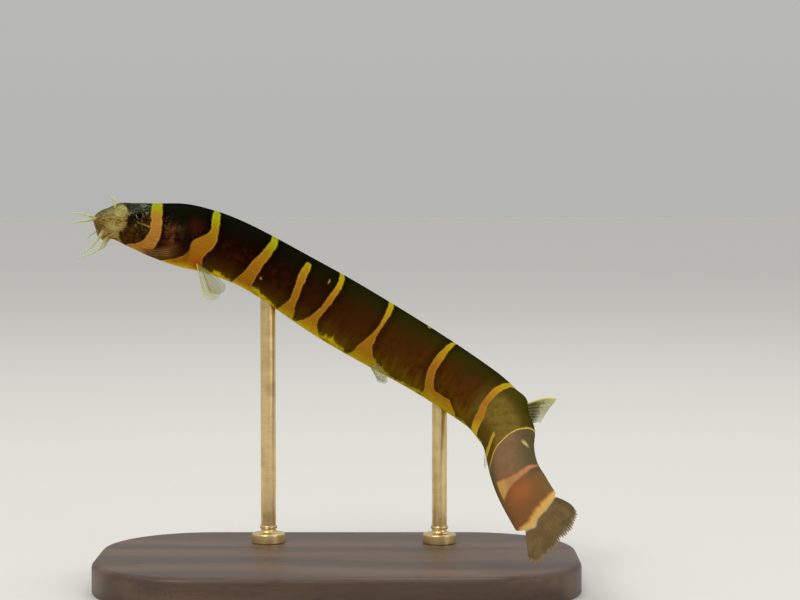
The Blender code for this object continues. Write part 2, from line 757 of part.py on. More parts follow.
def build_base(parts):
    """A slab with rounded corners and an eased upper edge, flat underneath."""
    bpy.ops.mesh.primitive_cube_add(size=1.0, location=(0.0, 0.0, BASE_SIZE[2] / 2 * MM))
    base = bpy.context.active_object
    base.name = base.data.name = "stand_base"
    base.data.transform(Matrix.Diagonal((*(size * MM for size in BASE_SIZE), 1.0)))
    place_in(base, parts)
    work = bmesh.new()
    work.from_mesh(base.data)
    uprights = [edge for edge in work.edges if abs((edge.verts[0].co - edge.verts[1].co).z) > MM]
    bmesh.ops.bevel(
        work, geom=uprights, offset=BASE_CORNER * MM, offset_type="OFFSET", segments=BASE_CORNER_STEPS,
        profile=0.5, affect="EDGES",
    )
    half = BASE_SIZE[2] / 2 * MM
    rim = [edge for edge in work.edges if all(vert.co.z > half * 0.99 for vert in edge.verts)]
    rim = [edge for edge in rim if any(abs(face.normal.z) < 0.5 for face in edge.link_faces)]
    bmesh.ops.bevel(
        work, geom=rim, offset=BASE_EDGE * MM, offset_type="OFFSET", segments=BASE_EDGE_STEPS,
        profile=0.5, affect="EDGES",
    )
    work.to_mesh(base.data)
    work.free()
    return base


def build_rod(label, place, parts):
    """A turned rod: a low foot on the base and a shaft up into the belly's socket."""
    x, y, middle = on_line("centre", place)
    bottom = BASE_SIZE[2] + GAP
    height = middle - rod_drop(place) + ROD_DEPTH_IN_BODY - bottom
    profile = (
        (0.0, height),
        (ROD_RADIUS - ROD_EDGE, height),
        (ROD_RADIUS, height - ROD_EDGE),
        (ROD_RADIUS, ROD_FOOT_HEIGHT + ROD_FILLET),
        (ROD_RADIUS + ROD_FILLET, ROD_FOOT_HEIGHT),
        (ROD_FOOT_RADIUS - ROD_EDGE, ROD_FOOT_HEIGHT),
        (ROD_FOOT_RADIUS, ROD_FOOT_HEIGHT - ROD_EDGE),
        (ROD_FOOT_RADIUS, 0.0),
        (0.0, 0.0),
    )
    name = "stand_rod_" + label
    mesh = bpy.data.meshes.new(name)
    edges = [(index, index + 1) for index in range(len(profile) - 1)]
    mesh.from_pydata([(radius * MM, 0.0, z * MM) for radius, z in profile], edges, [])
    rod = bpy.data.objects.new(name, mesh)
    rod.location = Vector((x, y, bottom)) * MM
    parts.objects.link(rod)
    turned = rod.modifiers.new("turned", "SCREW")
    turned.steps = turned.render_steps = ROD_SIDES
    turned.use_merge_vertices = True
    turned.merge_threshold = 0.00005
    return rod


def main():
    for obj in list(bpy.data.objects):
        bpy.data.objects.remove(obj)
    parts, cutters = collect("kuhli_loach"), collect("cutters")
    hub = bpy.data.objects.new("kuhli_loach_placement", None)
    parts.objects.link(hub)

    skin = make_material("skin_brown", SKIN_BROWN, 0.3)
    pieces = {name: (obj, skin) for name, obj in build_body(parts, cutters).items()}
    pieces["head"] = (build_head(parts, cutters), make_material("head_brown", HEAD_BROWN, 0.3))
    eye = make_material("eye_black", EYE_BLACK, 0.08)
    pieces.update((name, (obj, eye)) for name, obj in build_eyes(parts).items())
    barbel = make_material("barbel_straw", BARBEL_STRAW, 0.4)
    pieces.update((name, (obj, barbel)) for name, obj in build_barbels(parts).items())
    straw = make_material("fin_straw", FIN_STRAW, 0.4)
    grey = make_material("tail_fin_grey", TAIL_FIN_GREY, 0.4)
    for name, obj in build_fins(parts).items():
        pieces[name] = (obj, grey if name == "caudal_fin" else straw)
    pieces["stand_base"] = (build_base(parts), make_material("stand_walnut", STAND_WALNUT, 0.45))
    brass = make_material("stand_brass", STAND_BRASS, 0.3, metallic=1.0)
    for label, (_, place) in RODS.items():
        pieces["stand_rod_" + label] = (build_rod(label, place, parts), brass)

    for obj, material in pieces.values():
        own = material.copy()
        own.name = obj.name + "_" + material.name
        finish(obj, hub, own)


main()
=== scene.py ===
# A kuhli loach at life size over a plain display stand: the finished look.
# Sizes are in millimetres until a mesh is made. A place on the fish is "along", the distance from
# the snout's tip down the middle line, and "turn", the angle round the body: 0 on the back, 90
# degrees on the left flank, 180 on the belly. "side" is that angle in degrees, alike on both flanks.

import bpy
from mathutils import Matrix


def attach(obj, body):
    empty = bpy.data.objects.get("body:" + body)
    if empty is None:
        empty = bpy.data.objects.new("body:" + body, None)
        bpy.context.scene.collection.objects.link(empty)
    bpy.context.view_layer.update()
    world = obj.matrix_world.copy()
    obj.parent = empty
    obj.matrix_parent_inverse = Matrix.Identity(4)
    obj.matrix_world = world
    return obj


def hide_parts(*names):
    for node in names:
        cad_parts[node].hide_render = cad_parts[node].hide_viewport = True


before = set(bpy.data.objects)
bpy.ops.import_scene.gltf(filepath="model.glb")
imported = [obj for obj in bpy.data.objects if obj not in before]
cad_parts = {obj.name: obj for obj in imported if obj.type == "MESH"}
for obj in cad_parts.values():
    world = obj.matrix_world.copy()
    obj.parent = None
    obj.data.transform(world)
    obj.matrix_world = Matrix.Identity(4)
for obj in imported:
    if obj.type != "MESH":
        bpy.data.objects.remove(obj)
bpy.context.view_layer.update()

from types import SimpleNamespace

import bmesh
import bpy
import numpy as np
from mathutils import Vector

mm = 0.001


# Shader sums: a Value is an output socket, and + - * on it add Math nodes.
class Value:
    def __init__(self, finish, socket):
        self.finish, self.socket = finish, socket

    def join(self, operation, first, second):
        return self.finish.node("ShaderNodeMath", {"operation": operation}, {0: first, 1: second})

    def __add__(self, other):
        return self.join("ADD", self, other)

    def __radd__(self, other):
        return self.join("ADD", other, self)

    def __sub__(self, other):
        return self.join("SUBTRACT", self, other)

    def __rsub__(self, other):
        return self.join("SUBTRACT", other, self)

    def __mul__(self, other):
        return self.join("MULTIPLY", self, other)

    def __rmul__(self, other):
        return self.join("MULTIPLY", other, self)

    def clipped(self):     # kept between 0 and 1
        return self.finish.node("ShaderNodeClamp", {}, {"Value": self})

    def swing(self, amount):     # a noise either way of its middle, times an amount
        return (self - 0.5) * amount


# One material: its Principled shader with the constants set, and the nodes that colour it.
class Finish:
    def __init__(self, name, **constants):
        self.material = bpy.data.materials.new(name)
        self.material.use_nodes = True
        self.tree = self.material.node_tree
        self.shader = self.tree.nodes["Principled BSDF"]
        self.dress(**constants)

    def feed(self, socket, value):
        if isinstance(value, Value):
            self.tree.links.new(value.socket, socket)
        else:
            socket.default_value = value

    def dress(self, **sockets):
        for words, value in sockets.items():
            self.feed(self.shader.inputs[words.replace("_", " ")], value)
        return self.material

    # Any node: its type, its settings (a ramp's stops among them), its sockets, and which output
    def node(self, kind, settings, sockets, output=0):
        made = self.tree.nodes.new(kind)
        for setting, value in settings.items():
            if setting == "stops":
                self.setStops(made.color_ramp, value)
            else:
                setattr(made, setting, value)
        for socket, value in sockets.items():
            self.feed(made.inputs[socket], value)
        return Value(self, made.outputs[output])

    def setStops(self, ramp, stops):
        for place, _ in stops[len(ramp.elements):]:
            ramp.elements.new(place)
        for element, (place, colour) in zip(ramp.elements, stops):
            element.position, element.color = place, (*colour, 1.0)

    def attribute(self, name):
        return self.node("ShaderNodeAttribute", {"attribute_name": name}, {}, "Vector")

    def place(self):     # Object coordinates in millimetres
        return self.stretched(self.node("ShaderNodeTexCoord", {}, {}, "Object"), (1 / mm, 1 / mm, 1 / mm))

    def stretched(self, vector, scales):
        return self.node("ShaderNodeVectorMath", {"operation": "MULTIPLY"}, {0: vector, 1: scales})

    def parts(self, vector):
        return [self.node("ShaderNodeSeparateXYZ", {}, {0: vector}, axis) for axis in "XYZ"]

    def noise(self, vector, scale, detail=3.0, rough=0.55, stretch=None):
        where = self.stretched(vector, stretch) if stretch else vector
        sockets = {"Vector": where, "Scale": scale, "Detail": detail, "Roughness": rough}
        return self.node("ShaderNodeTexNoise", {}, sockets, "Fac")

    def cells(self, vector, scale, feature="F1"):
        sockets = {"Vector": vector, "Scale": scale}
        return self.node("ShaderNodeTexVoronoi", {"feature": feature}, sockets, "Distance")

    def rise(self, value, low, high):     # a smooth step from 0 at low to 1 at high
        sockets = {"Value": value, "From Min": low, "From Max": high}
        return self.node("ShaderNodeMapRange", {"interpolation_type": "SMOOTHSTEP"}, sockets)

    def fall(self, value, low, high):     # the same from 1 to 0
        return 1.0 - self.rise(value, low, high)

    def between(self, value, low, lowFull, highFade, high):     # rises, then falls
        return self.rise(value, low, lowFull) * self.fall(value, highFade, high)

    def ramp(self, value, stops):
        return self.node("ShaderNodeValToRGB", {"stops": stops}, {0: value})

    def mix(self, share, first, second):
        first, second = (
            (*colour, 1.0) if isinstance(colour, tuple) else colour for colour in (first, second)
        )
        return self.node("ShaderNodeMix", {"data_type": "RGBA"}, {0: share, 6: first, 7: second}, 2)

    def dimmed(self, colour, light):     # a colour times one number
        return self.node("ShaderNodeVectorMath", {"operation": "SCALE"}, {0: colour, "Scale": light})

    def bump(self, height, strength, depth, under=None):
        sockets = {"Height": height, "Strength": strength, "Distance": depth * mm}
        if under is not None:
            sockets["Normal"] = under
        return self.node("ShaderNodeBump", {}, sockets)


# Meshes: rows and columns of points become quads, joined round when the columns close.
def gridFaces(rows, columns, closed=False, start=0):
    row, column = np.meshgrid(np.arange(rows - 1), np.arange(columns - (not closed)), indexing="ij")
    here, after = row * columns + column, row * columns + (column + 1) % columns
    return start + np.stack([here, after, after + columns, here + columns], -1).reshape(-1, 4)


# Triangles from each edge of a ring of points to one middle point.
def fanFaces(ringStart, count, middle):
    here = np.arange(count)
    return np.stack([ringStart + here, ringStart + (here + 1) % count, np.full(count, middle)], -1)


# Rings of points (rings x sides x 3) closed at both ends by a middle point.
def closedLoft(rings, firstPole, lastPole):
    count, sides = rings.shape[:2]
    last = count * sides
    ends = [fanFaces(0, sides, last), fanFaces(last - sides, sides, last + 1)]
    points = np.vstack([rings.reshape(-1, 3), firstPole, lastPole])
    return points, [gridFaces(count, sides, closed=True), *ends]


# A thin sheet: its middle surface moved both ways by the lift, and a strip round the border.
def doubledSheet(middle, lift):
    rows, columns = middle.shape[:2]
    count = rows * columns
    number = np.arange(count).reshape(rows, columns)
    border = np.concatenate([number[:, 0], number[-1, 1:], number[-2::-1, -1], number[0, -2:0:-1]])
    after = np.roll(border, -1)
    strip = np.stack([border, after, after + count, border + count], -1)
    points = np.concatenate([(middle + lift).reshape(-1, 3), (middle - lift).reshape(-1, 3)])
    return points, [gridFaces(rows, columns), gridFaces(rows, columns, start=count), strip]


# A finished piece: mesh in metres at the origin, faces turned outwards, shaded smooth, with its
# attributes and material; the solids that it stands for are hidden.
def makePiece(name, points, faceSets, material, nodes, marks=None, sharp=None):
    mesh = bpy.data.meshes.new(name)
    faces = [face for faceSet in faceSets for face in faceSet.tolist()]
    mesh.from_pydata((points * mm).tolist(), [], faces)
    work = bmesh.new()
    work.from_mesh(mesh)
    bmesh.ops.recalc_face_normals(work, faces=work.faces)
    work.to_mesh(mesh)
    work.free()
    for label, values in (marks or {}).items():
        layer = mesh.attributes.new(label, "FLOAT_VECTOR", "POINT")
        layer.data.foreach_set("vector", np.ascontiguousarray(values, np.float32).ravel())
    mesh.shade_smooth()
    if sharp is not None:
        mesh.set_sharp_from_angle(angle=np.radians(sharp))
    mesh.materials.append(material)
    piece = bpy.data.objects.new(name, mesh)
    bpy.context.scene.collection.objects.link(piece)
    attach(piece, "root")
    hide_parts(*nodes)
    print("made", name, len(mesh.vertices), "points")


# Curves: a smooth step from 0 at start to 1 at end, 3t² - 2t³.
def eased(value, start, end):
    part = np.clip((np.asarray(value, float) - start) / (end - start), 0.0, 1.0)
    return part * part * (3.0 - 2.0 * part)


# A smooth step up between the first two places, times one down between the last two.
def between(value, low, lowFull, highFade, high):
    return eased(value, low, lowFull) * (1.0 - eased(value, highFade, high))


# A hump of height 1 at the middle that falls off as a bell: exp(-(distance / width)²).
def bell(distance, width):
    return np.exp(-((distance / width) ** 2))


# A bell as high as the shape says, at its distance and of its width.
def raised(distance, shape):
    height, at, width = shape
    return height * bell(distance - at, width)


# A Hermite curve through the values at the knots, its slopes those of the neighbours' differences.
def readCurve(knots, values, at):
    knots, values = np.asarray(knots, float), np.asarray(values, float)
    slopes = np.gradient(values, knots)
    at = np.clip(at, knots[0], knots[-1])
    index = np.clip(np.searchsorted(knots, at) - 1, 0, len(knots) - 2)
    width = knots[index + 1] - knots[index]
    part = (at - knots[index]) / width
    square, cube = part ** 2, part ** 3
    return (
        values[index] * (2 * cube - 3 * square + 1) + values[index + 1] * (3 * square - 2 * cube)
        + slopes[index] * width * (cube - 2 * square + part) + slopes[index + 1] * width * (cube - square)
    )


# A Catmull-Rom curve through points, read at an even count of places.
def smoothRoute(points, count):
    points = np.asarray(points, float)
    ends = np.vstack([2 * points[0] - points[1], points, 2 * points[-1] - points[-2]])
    at = np.linspace(0, len(points) - 1, count)
    index = np.minimum(at.astype(int), len(points) - 2)
    part = (at - index)[:, None]
    before, start, end, after = (ends[index + shift] for shift in range(4))
    bend = 2 * before - 5 * start + 4 * end - after
    twist = 3 * start - before - 3 * end + after
    return 0.5 * (2 * start + (end - before) * part + bend * part ** 2 + twist * part ** 3)


# An ellipse's arc: the middle plus the radii times cosine and sine, between two angles in degrees.
def arcPoints(middle, radii, start, end, count):
    angle = np.radians(np.linspace(start, end, count))
    return np.stack([middle[0] + radii[0] * np.cos(angle), middle[1] + radii[1] * np.sin(angle)], -1)


def evenTurns(count):     # that many angles, evenly round a circle
    return np.arange(count) * 2 * np.pi / count


# Values at even steps from 0 to 1, read between them along straight lines.
def spreadOver(values, across):
    return np.interp(across, np.linspace(0.0, 1.0, len(values)), values)


def unit(vectors):
    return vectors / np.linalg.norm(vectors, axis=-1, keepdims=True)


# The camera and the studio.
camera = {"at": (0.008, -0.2906, 0.0519), "aim": (0.008, 0.009, 0.0362), "lens": 102.3, "sensor": 36.0}
studio = {
    "floorReach": 3.0, "floorColour": (0.72, 0.71, 0.68), "floorDeep": (0.66, 0.65, 0.62),
    "floorRoughness": 0.55, "skyLow": (0.46, 0.46, 0.45), "skyHigh": (0.74, 0.74, 0.73),
    "lamps": {
        "keyLamp": {"at": (-0.22, -0.34, 0.46), "size": 0.22, "power": 1.2, "colour": (1.0, 0.97, 0.92)},
        "topLamp": {"at": (0.06, 0.16, 0.50), "size": 0.34, "power": 0.7, "colour": (1.0, 0.99, 0.92)},
        "fillLamp": {"at": (0.40, -0.30, 0.20), "size": 0.30, "power": 0.4, "colour": (0.92, 0.96, 1.0)},
    },
    "lampAim": (0.0, 0.0, 0.035),
}


def pointAt(thing, place, aim):
    thing.location = place
    thing.rotation_euler = (Vector(aim) - Vector(place)).to_track_quat("-Z", "Y").to_euler()
    bpy.context.scene.collection.objects.link(thing)


def makeCamera():
    lens = bpy.data.cameras.new("photoView")
    lens.lens, lens.sensor_width = camera["lens"], camera["sensor"]
    lens.clip_start = 0.01
    holder = bpy.data.objects.new("photoView", lens)
    pointAt(holder, camera["at"], camera["aim"])
    bpy.context.scene.camera = holder


def makeLamps():
    for name, lamp in studio["lamps"].items():
        light = bpy.data.lights.new(name, "AREA")
        light.shape, light.size = "DISK", lamp["size"]
        light.energy, light.color = lamp["power"], lamp["colour"]
        pointAt(bpy.data.objects.new(name, light), lamp["at"], studio["lampAim"])


# The sky is a little darker at the horizon, where it meets the floor.
def makeSky():
    world = bpy.data.worlds.new("studioSky")
    world.use_nodes = True
    tree = world.node_tree
    where = tree.nodes.new("ShaderNodeTexCoord")
    height = tree.nodes.new("ShaderNodeSeparateXYZ")
    blend = tree.nodes.new("ShaderNodeMix")
    blend.data_type = "RGBA"
    blend.inputs[6].default_value = (*studio["skyLow"], 1.0)
    blend.inputs[7].default_value = (*studio["skyHigh"], 1.0)
    tree.links.new(where.outputs["Generated"], height.inputs[0])
    tree.links.new(height.outputs["Z"], blend.inputs[0])
    tree.links.new(blend.outputs[2], tree.nodes["Background"].inputs["Color"])
    bpy.context.scene.world = world


def makeFloor():
    finish = Finish("paleFloor", Specular_IOR_Level=0.3)
    speck = finish.noise(finish.place(), 0.25, detail=4.0)
    colour = finish.mix(speck * 0.08, studio["floorColour"], studio["floorDeep"])
    material = finish.dress(Base_Color=colour, Roughness=studio["floorRoughness"] + speck * 0.1)
    reach = studio["floorReach"]
    mesh = bpy.data.meshes.new("floor")
    corners = [(-reach, -reach, 0), (reach, -reach, 0), (reach, reach, 0), (-reach, reach, 0)]
    mesh.from_pydata(corners, [], [(0, 1, 2, 3)])
    mesh.materials.append(material)
    floor = bpy.data.objects.new("floor", mesh)
    bpy.context.scene.collection.objects.link(floor)


bpy.context.scene.view_settings.view_transform = "Standard"
makeCamera()
makeLamps()
makeSky()
makeFloor()
print("studio ready")


# The pose: each bend turns the body down and aside, in degrees, between two places along it.
pose = {
    "snoutTip": (-32.4, 9.0, 46.8), "headSlope": 8.0, "traceEnd": 86.0, "traceStep": 0.05,
    "bends": {
        "neck": (6.0, 27.0, 23.0, 0.0), "back": (42.0, 57.0, 2.5, 0.0), "swing": (44.0, 68.0, 0.0, 61.0),
        "drop": (56.5, 67.5, 51.5, 0.0), "lift": (67.5, 83.0, -40.0, 0.0),
    },
}

# The body's section at each place: height above and depth below the middle line, half width, and
# how far it narrows to a crest above and below (1 is an ellipse). At its end, inside the tail fin,
# the flesh closes in width and narrows in height.
body = {
    "along": (
        0.0, 0.8, 1.5, 3.0, 5.0, 8.0, 11.5, 15.0, 22.0, 35.0, 50.0, 58.0, 63.0, 68.0, 73.0, 78.0, 83.0,
    ),
    "above": (1.2, 1.4, 1.7, 2.6, 2.9, 3.3, 3.9, 4.0, 3.9, 4.3, 4.2, 4.1, 3.9, 3.45, 3.35, 3.5, 3.25),
    "below": (0.9, 1.9, 2.2, 2.2, 2.9, 3.8, 4.4, 4.3, 4.0, 4.6, 4.1, 3.9, 3.7, 2.9, 2.8, 3.0, 3.5),
    "half": (0.9, 1.2, 1.45, 1.95, 2.35, 2.85, 3.15, 3.25, 3.3, 3.5, 3.3, 3.05, 2.75, 2.3, 1.9, 1.5, 1.1),
    "crest": (1.0, 1.0, 1.0, 1.0, 1.0, 0.95, 0.95, 0.95, 0.95, 0.95, 0.95, 1.0, 1.05, 1.1, 1.2, 1.3, 1.4),
    "snoutRounding": 1.3, "smallestReach": 0.3, "end": 83.0, "fleshEnd": 84.3,
    "closing": 0.84, "closingStart": 82.2, "narrowing": 0.28, "narrowingStart": 82.6,
}


# The middle line: the centre is the sum of steps in the tailward direction, which slopes and swings
# by each bend's angle times its smooth step.
def traceMiddleLine():
    along = np.arange(0.0, pose["traceEnd"], pose["traceStep"])
    down = np.full_like(along, pose["headSlope"])
    swing = np.zeros_like(along)
    for start, end, turnDown, turnAside in pose["bends"].values():
        down += turnDown * eased(along, start, end)
        swing += turnAside * eased(along, start, end)
    down, swing = np.radians(down), np.radians(swing)
    tailward = np.stack([np.cos(swing) * np.cos(down), -np.sin(swing), -np.cos(swing) * np.sin(down)], 1)
    upward = np.stack([np.sin(down), np.zeros_like(along), np.cos(down)], 1)
    steps = (tailward[1:] + tailward[:-1]) / 2 * np.diff(along)[:, None]
    centre = np.array(pose["snoutTip"]) + np.vstack([np.zeros(3), np.cumsum(steps, 0)])
    left = np.cross(tailward, upward)
    return {"along": along, "centre": centre, "tailward": tailward, "up": upward, "left": left}


middleLine = traceMiddleLine()


def onLine(name, along):
    columns = middleLine[name].T
    return np.stack([np.interp(along, middleLine["along"], column) for column in columns], -1)


def bodySize(key, along):
    return readCurve(body["along"], body[key], np.asarray(along, float))


# A point of the skin: the section's height is cos(turn) times above or below, its width is
# sin(turn) to the crest power times the half width, both blunted at the snout, and the lift moves
# the point straight out from the middle line.
def bodyPoint(along, turn, lift=0.0):
    along, turn = np.broadcast_arrays(np.asarray(along, float), np.asarray(turn, float))
    above, below, half, crest = (bodySize(key, along) for key in ("above", "below", "half", "crest"))
    half = half * (1.0 - body["closing"] * eased(along, body["closingStart"], body["fleshEnd"]))
    blade = 1.0 - body["narrowing"] * eased(along, body["narrowingStart"], body["fleshEnd"])
    blunt = np.sqrt(1.0 - (1.0 - np.clip(along / body["snoutRounding"], 0.0, 1.0)) ** 2)
    height = np.cos(turn) * np.where(np.cos(turn) > 0, above, below) * blunt * blade
    width = np.sign(np.sin(turn)) * np.abs(np.sin(turn)) ** crest * half * blunt
    grow = 1.0 + lift / np.maximum(np.hypot(height, width), body["smallestReach"])
    raisedUp = onLine("up", along) * (height * grow)[..., None]
    return onLine("centre", along) + raisedUp + onLine("left", along) * (width * grow)[..., None]


def fromBack(turn):     # degrees from the back, 0 to 180, alike on both flanks
    return np.degrees(np.abs((turn + np.pi) % (2 * np.pi) - np.pi))


# The head's relief, in millimetres out from the body's plain form. A bell is written as its height,
# the distance of its middle and its width; a smooth step as the places where it starts and ends, and
# a step up and one down as all four.
gill = {
    "edge": 13.3, "edgeTurn": 108.0, "bow": 0.9, "spread": 45.0, "cover": (55.0, 80.0, 138.0, 162.0),
    "rise": 0.28, "swell": (8.5, 12.6), "swellEnd": (0.0, 0.26), "slit": (0.17, 0.26, 0.26),
}
mouth = {
    "front": 1.2, "corner": 2.5, "halfTurn": 48.0, "fade": (42.0, 55.0), "upperLip": (0.24, -0.34, 0.26),
    "lowerLip": (0.3, 0.34, 0.26), "groove": (0.36, 0.0, 0.09), "notch": (0.14, 0.6, 0.3), "notchTurn": 6.0,
}
nostril = {
    "along": 3.6, "side": 52.0, "length": 0.92, "height": 23.0, "dome": 0.04, "domeEdge": (0.7, 1.0),
    "rim": (0.04, 0.9, 0.12), "groove": (0.05, 1.16, 0.13), "grooveStart": (3.4, 4.2), "pitAlong": 3.25,
    "pitSide": 47.0, "pitDepth": 0.26, "pitEdge": (0.07, 0.2), "pitRim": (0.05, 0.26, 0.09),
}
eye = {
    "along": 6.25, "height": 1.45, "radius": 0.62, "depth": 0.34, "sides": 64, "rings": 40,
    "groove": (0.08, 0.02, 0.1), "brow": (0.04, 0.27, 0.14), "sink": 0.3, "sinkEdge": (0.0, 0.14),
    "pupilEdge": (0.45, 0.49), "ring": (0.45, 0.48, 0.53, 0.57), "pupilColour": (0.0015, 0.0015, 0.0015),
    "irisDark": (0.006, 0.005, 0.003), "irisFleck": (0.10, 0.08, 0.03), "ringColour": (0.56, 0.47, 0.2),
}
cheek = {     # perDegree is a degree's length on the head
    "ridge": (6.05, 7.75), "ridgeSide": 81.5, "ridgeCurve": 2.0, "ridgeWidth": 0.06, "ridgeHeight": 0.03,
    "perDegree": 0.047,
}
pleats = {
    "along": (6.6, 8.0, 10.6, 12.4), "slope": 8.0, "level": (-12.0, -6.0, 12.0, 22.0),
    "zeroAt": (7.5, 149.0), "spacing": 4.8, "height": 0.045,
}
throatGroove = {"along": (4.0, 6.0, 11.0, 13.0), "bell": (0.16, 180.0, 9.0)}
backBumps = {"bells": ((0.4, 61.6, 0.9), (-0.16, 63.6, 0.8), (0.2, 65.6, 1.6)), "side": (20.0, 55.0)}
patches = {     # strength, place along, degrees from the back, reach along, reach round in degrees
    "bulges": ((0.05, 4.6, 112.0, 1.1, 22.0), (-0.03, 3.0, 118.0, 0.5, 20.0)),
    "specks": ((0.3, 9.9, 76.0, 0.6, 26.0), (0.25, 13.9, 76.0, 0.7, 16.0)),
    "speckGap": ((0.8, 5.4, 68.0, 0.7, 12.0),),
    "shade": ((0.5, 0.9, 112.0, 0.8, 26.0),),
    "warm": ((1.0, 13.5, 74.0, 1.0, 17.0), (1.0, 79.6, 92.0, 1.5, 34.0)),
    "flame": ((1.0, 15.3, 142.0, 1.1, 20.0),),
    "pale": ((1.0, 2.95, 107.0, 0.85, 16.0), (0.5, 2.3, 52.0, 0.7, 16.0)),
    "chin": ((1.0, 2.35, 147.0, 0.8, 16.0),),
    "eyeDark": ((1.0, 5.4, 70.0, 0.9, 17.0),),
}


# Patches added up: each is its strength times a bell of the distance from its middle, counted in
# its two reaches.
def patched(name, along, side):
    return sum(
        strength * bell(np.hypot((along - place) / reach, (side - at) / spread), 1.0)
        for strength, place, at, reach, spread in patches[name]
    )


# The gill cover swells towards its bowed rear edge and drops into the slit behind it.
def gillRelief(along, side):
    bowed = np.clip(side, gill["cover"][0], gill["cover"][3])
    pastEdge = along - gill["edge"] + gill["bow"] * ((bowed - gill["edgeTurn"]) / gill["spread"]) ** 2
    swell = gill["rise"] * eased(along, *gill["swell"]) * (1.0 - eased(pastEdge, *gill["swellEnd"]))
    return between(side, *gill["cover"]) * (swell - raised(pastEdge, gill["slit"]))


# The mouth's line runs back with the square of the angle from the belly: two lips rise as bells
# before and behind it, and a narrow groove parts them.
def mouthRelief(along, side):
    fromBelly = 180.0 - side
    run = mouth["corner"] - mouth["front"]
    past = along - mouth["front"] - run * (fromBelly / mouth["halfTurn"]) ** 2
    lips = raised(past, mouth["upperLip"]) + raised(past, mouth["lowerLip"])
    notch = raised(past, mouth["notch"]) * bell(fromBelly, mouth["notchTurn"])
    return (1.0 - eased(fromBelly, *mouth["fade"])) * (lips - raised(past, mouth["groove"]) - notch)


# How far out from the nasal oval's middle a place lies, 1 at its rim.
def nasalRadius(along, side):
    back, down = along - nostril["along"], side - nostril["side"]
    return np.hypot(back / nostril["length"], down / nostril["height"])


# A low dome with a rim, a groove behind it, and the nostril's pit with its own rim.
def noseRelief(along, side):
    radius = nasalRadius(along, side)
    dome = nostril["dome"] * (1.0 - eased(radius, *nostril["domeEdge"])) + raised(radius, nostril["rim"])
    groove = raised(radius, nostril["groove"]) * eased(along, *nostril["grooveStart"])
    toPit = np.hypot(along - nostril["pitAlong"], (side - nostril["pitSide"]) * cheek["perDegree"])
    pit = nostril["pitDepth"] * (1.0 - eased(toPit, *nostril["pitEdge"]))
    return dome - groove - pit + raised(toPit, nostril["pitRim"])


def eyeCentre(way):     # way is 1 on the left and -1 on the right
    above, half = (float(bodySize(key, eye["along"])) for key in ("above", "half"))
    flank = half * np.sqrt(1.0 - (eye["height"] / above) ** 2)
    up, left = onLine("up", eye["along"]), onLine("left", eye["along"])
    return onLine("centre", eye["along"]) + up * eye["height"] + left * way * (flank - eye["depth"])


# Round each eyeball the skin dips in a groove under a low brow, and inside it the skin sinks.
def eyeRelief(points):
    relief = 0.0
    for way in (1, -1):
        past = np.linalg.norm(points - eyeCentre(way), axis=-1) - eye["radius"]
        relief = relief + raised(past, eye["brow"]) - raised(past, eye["groove"])
        relief = relief - eye["sink"] * eased(-past, *eye["sinkEdge"])
    return relief


# The distance in millimetres from the line under the eye, which falls with the square of its length.
def ridgeDistance(along, side):
    start, end = cheek["ridge"]
    fall = side - cheek["ridgeSide"] - cheek["ridgeCurve"] * (along - start) ** 2
    return np.hypot(np.maximum(0.0, np.maximum(start - along, along - end)), fall * cheek["perDegree"])


# Fine folds of the throat: a wave over the level of lines that climb forward, and where it shows.
def pleatWave(along, side):
    level = side - pleats["zeroAt"][1] + pleats["slope"] * (along - pleats["zeroAt"][0])
    shown = between(along, *pleats["along"]) * between(level, *pleats["level"])
    return np.sin(2 * np.pi * level / pleats["spacing"]), shown


# All of the head's relief, the groove along the throat and the bumps at the dorsal fin, added up.
def skinRelief(along, turn):
    side = fromBack(turn)
    wave, shown = pleatWave(along, side)
    relief = gillRelief(along, side) + mouthRelief(along, side) + noseRelief(along, side)
    relief = relief + eyeRelief(bodyPoint(along, turn)) + patched("bulges", along, side)
    relief = relief + cheek["ridgeHeight"] * bell(ridgeDistance(along, side), cheek["ridgeWidth"])
    relief = relief + pleats["height"] * wave * shown
    relief = relief - raised(side, throatGroove["bell"]) * between(along, *throatGroove["along"])
    bumps = sum(raised(along, shape) for shape in backBumps["bells"])
    return relief + bumps * (1.0 - eased(side, *backBumps["side"]))


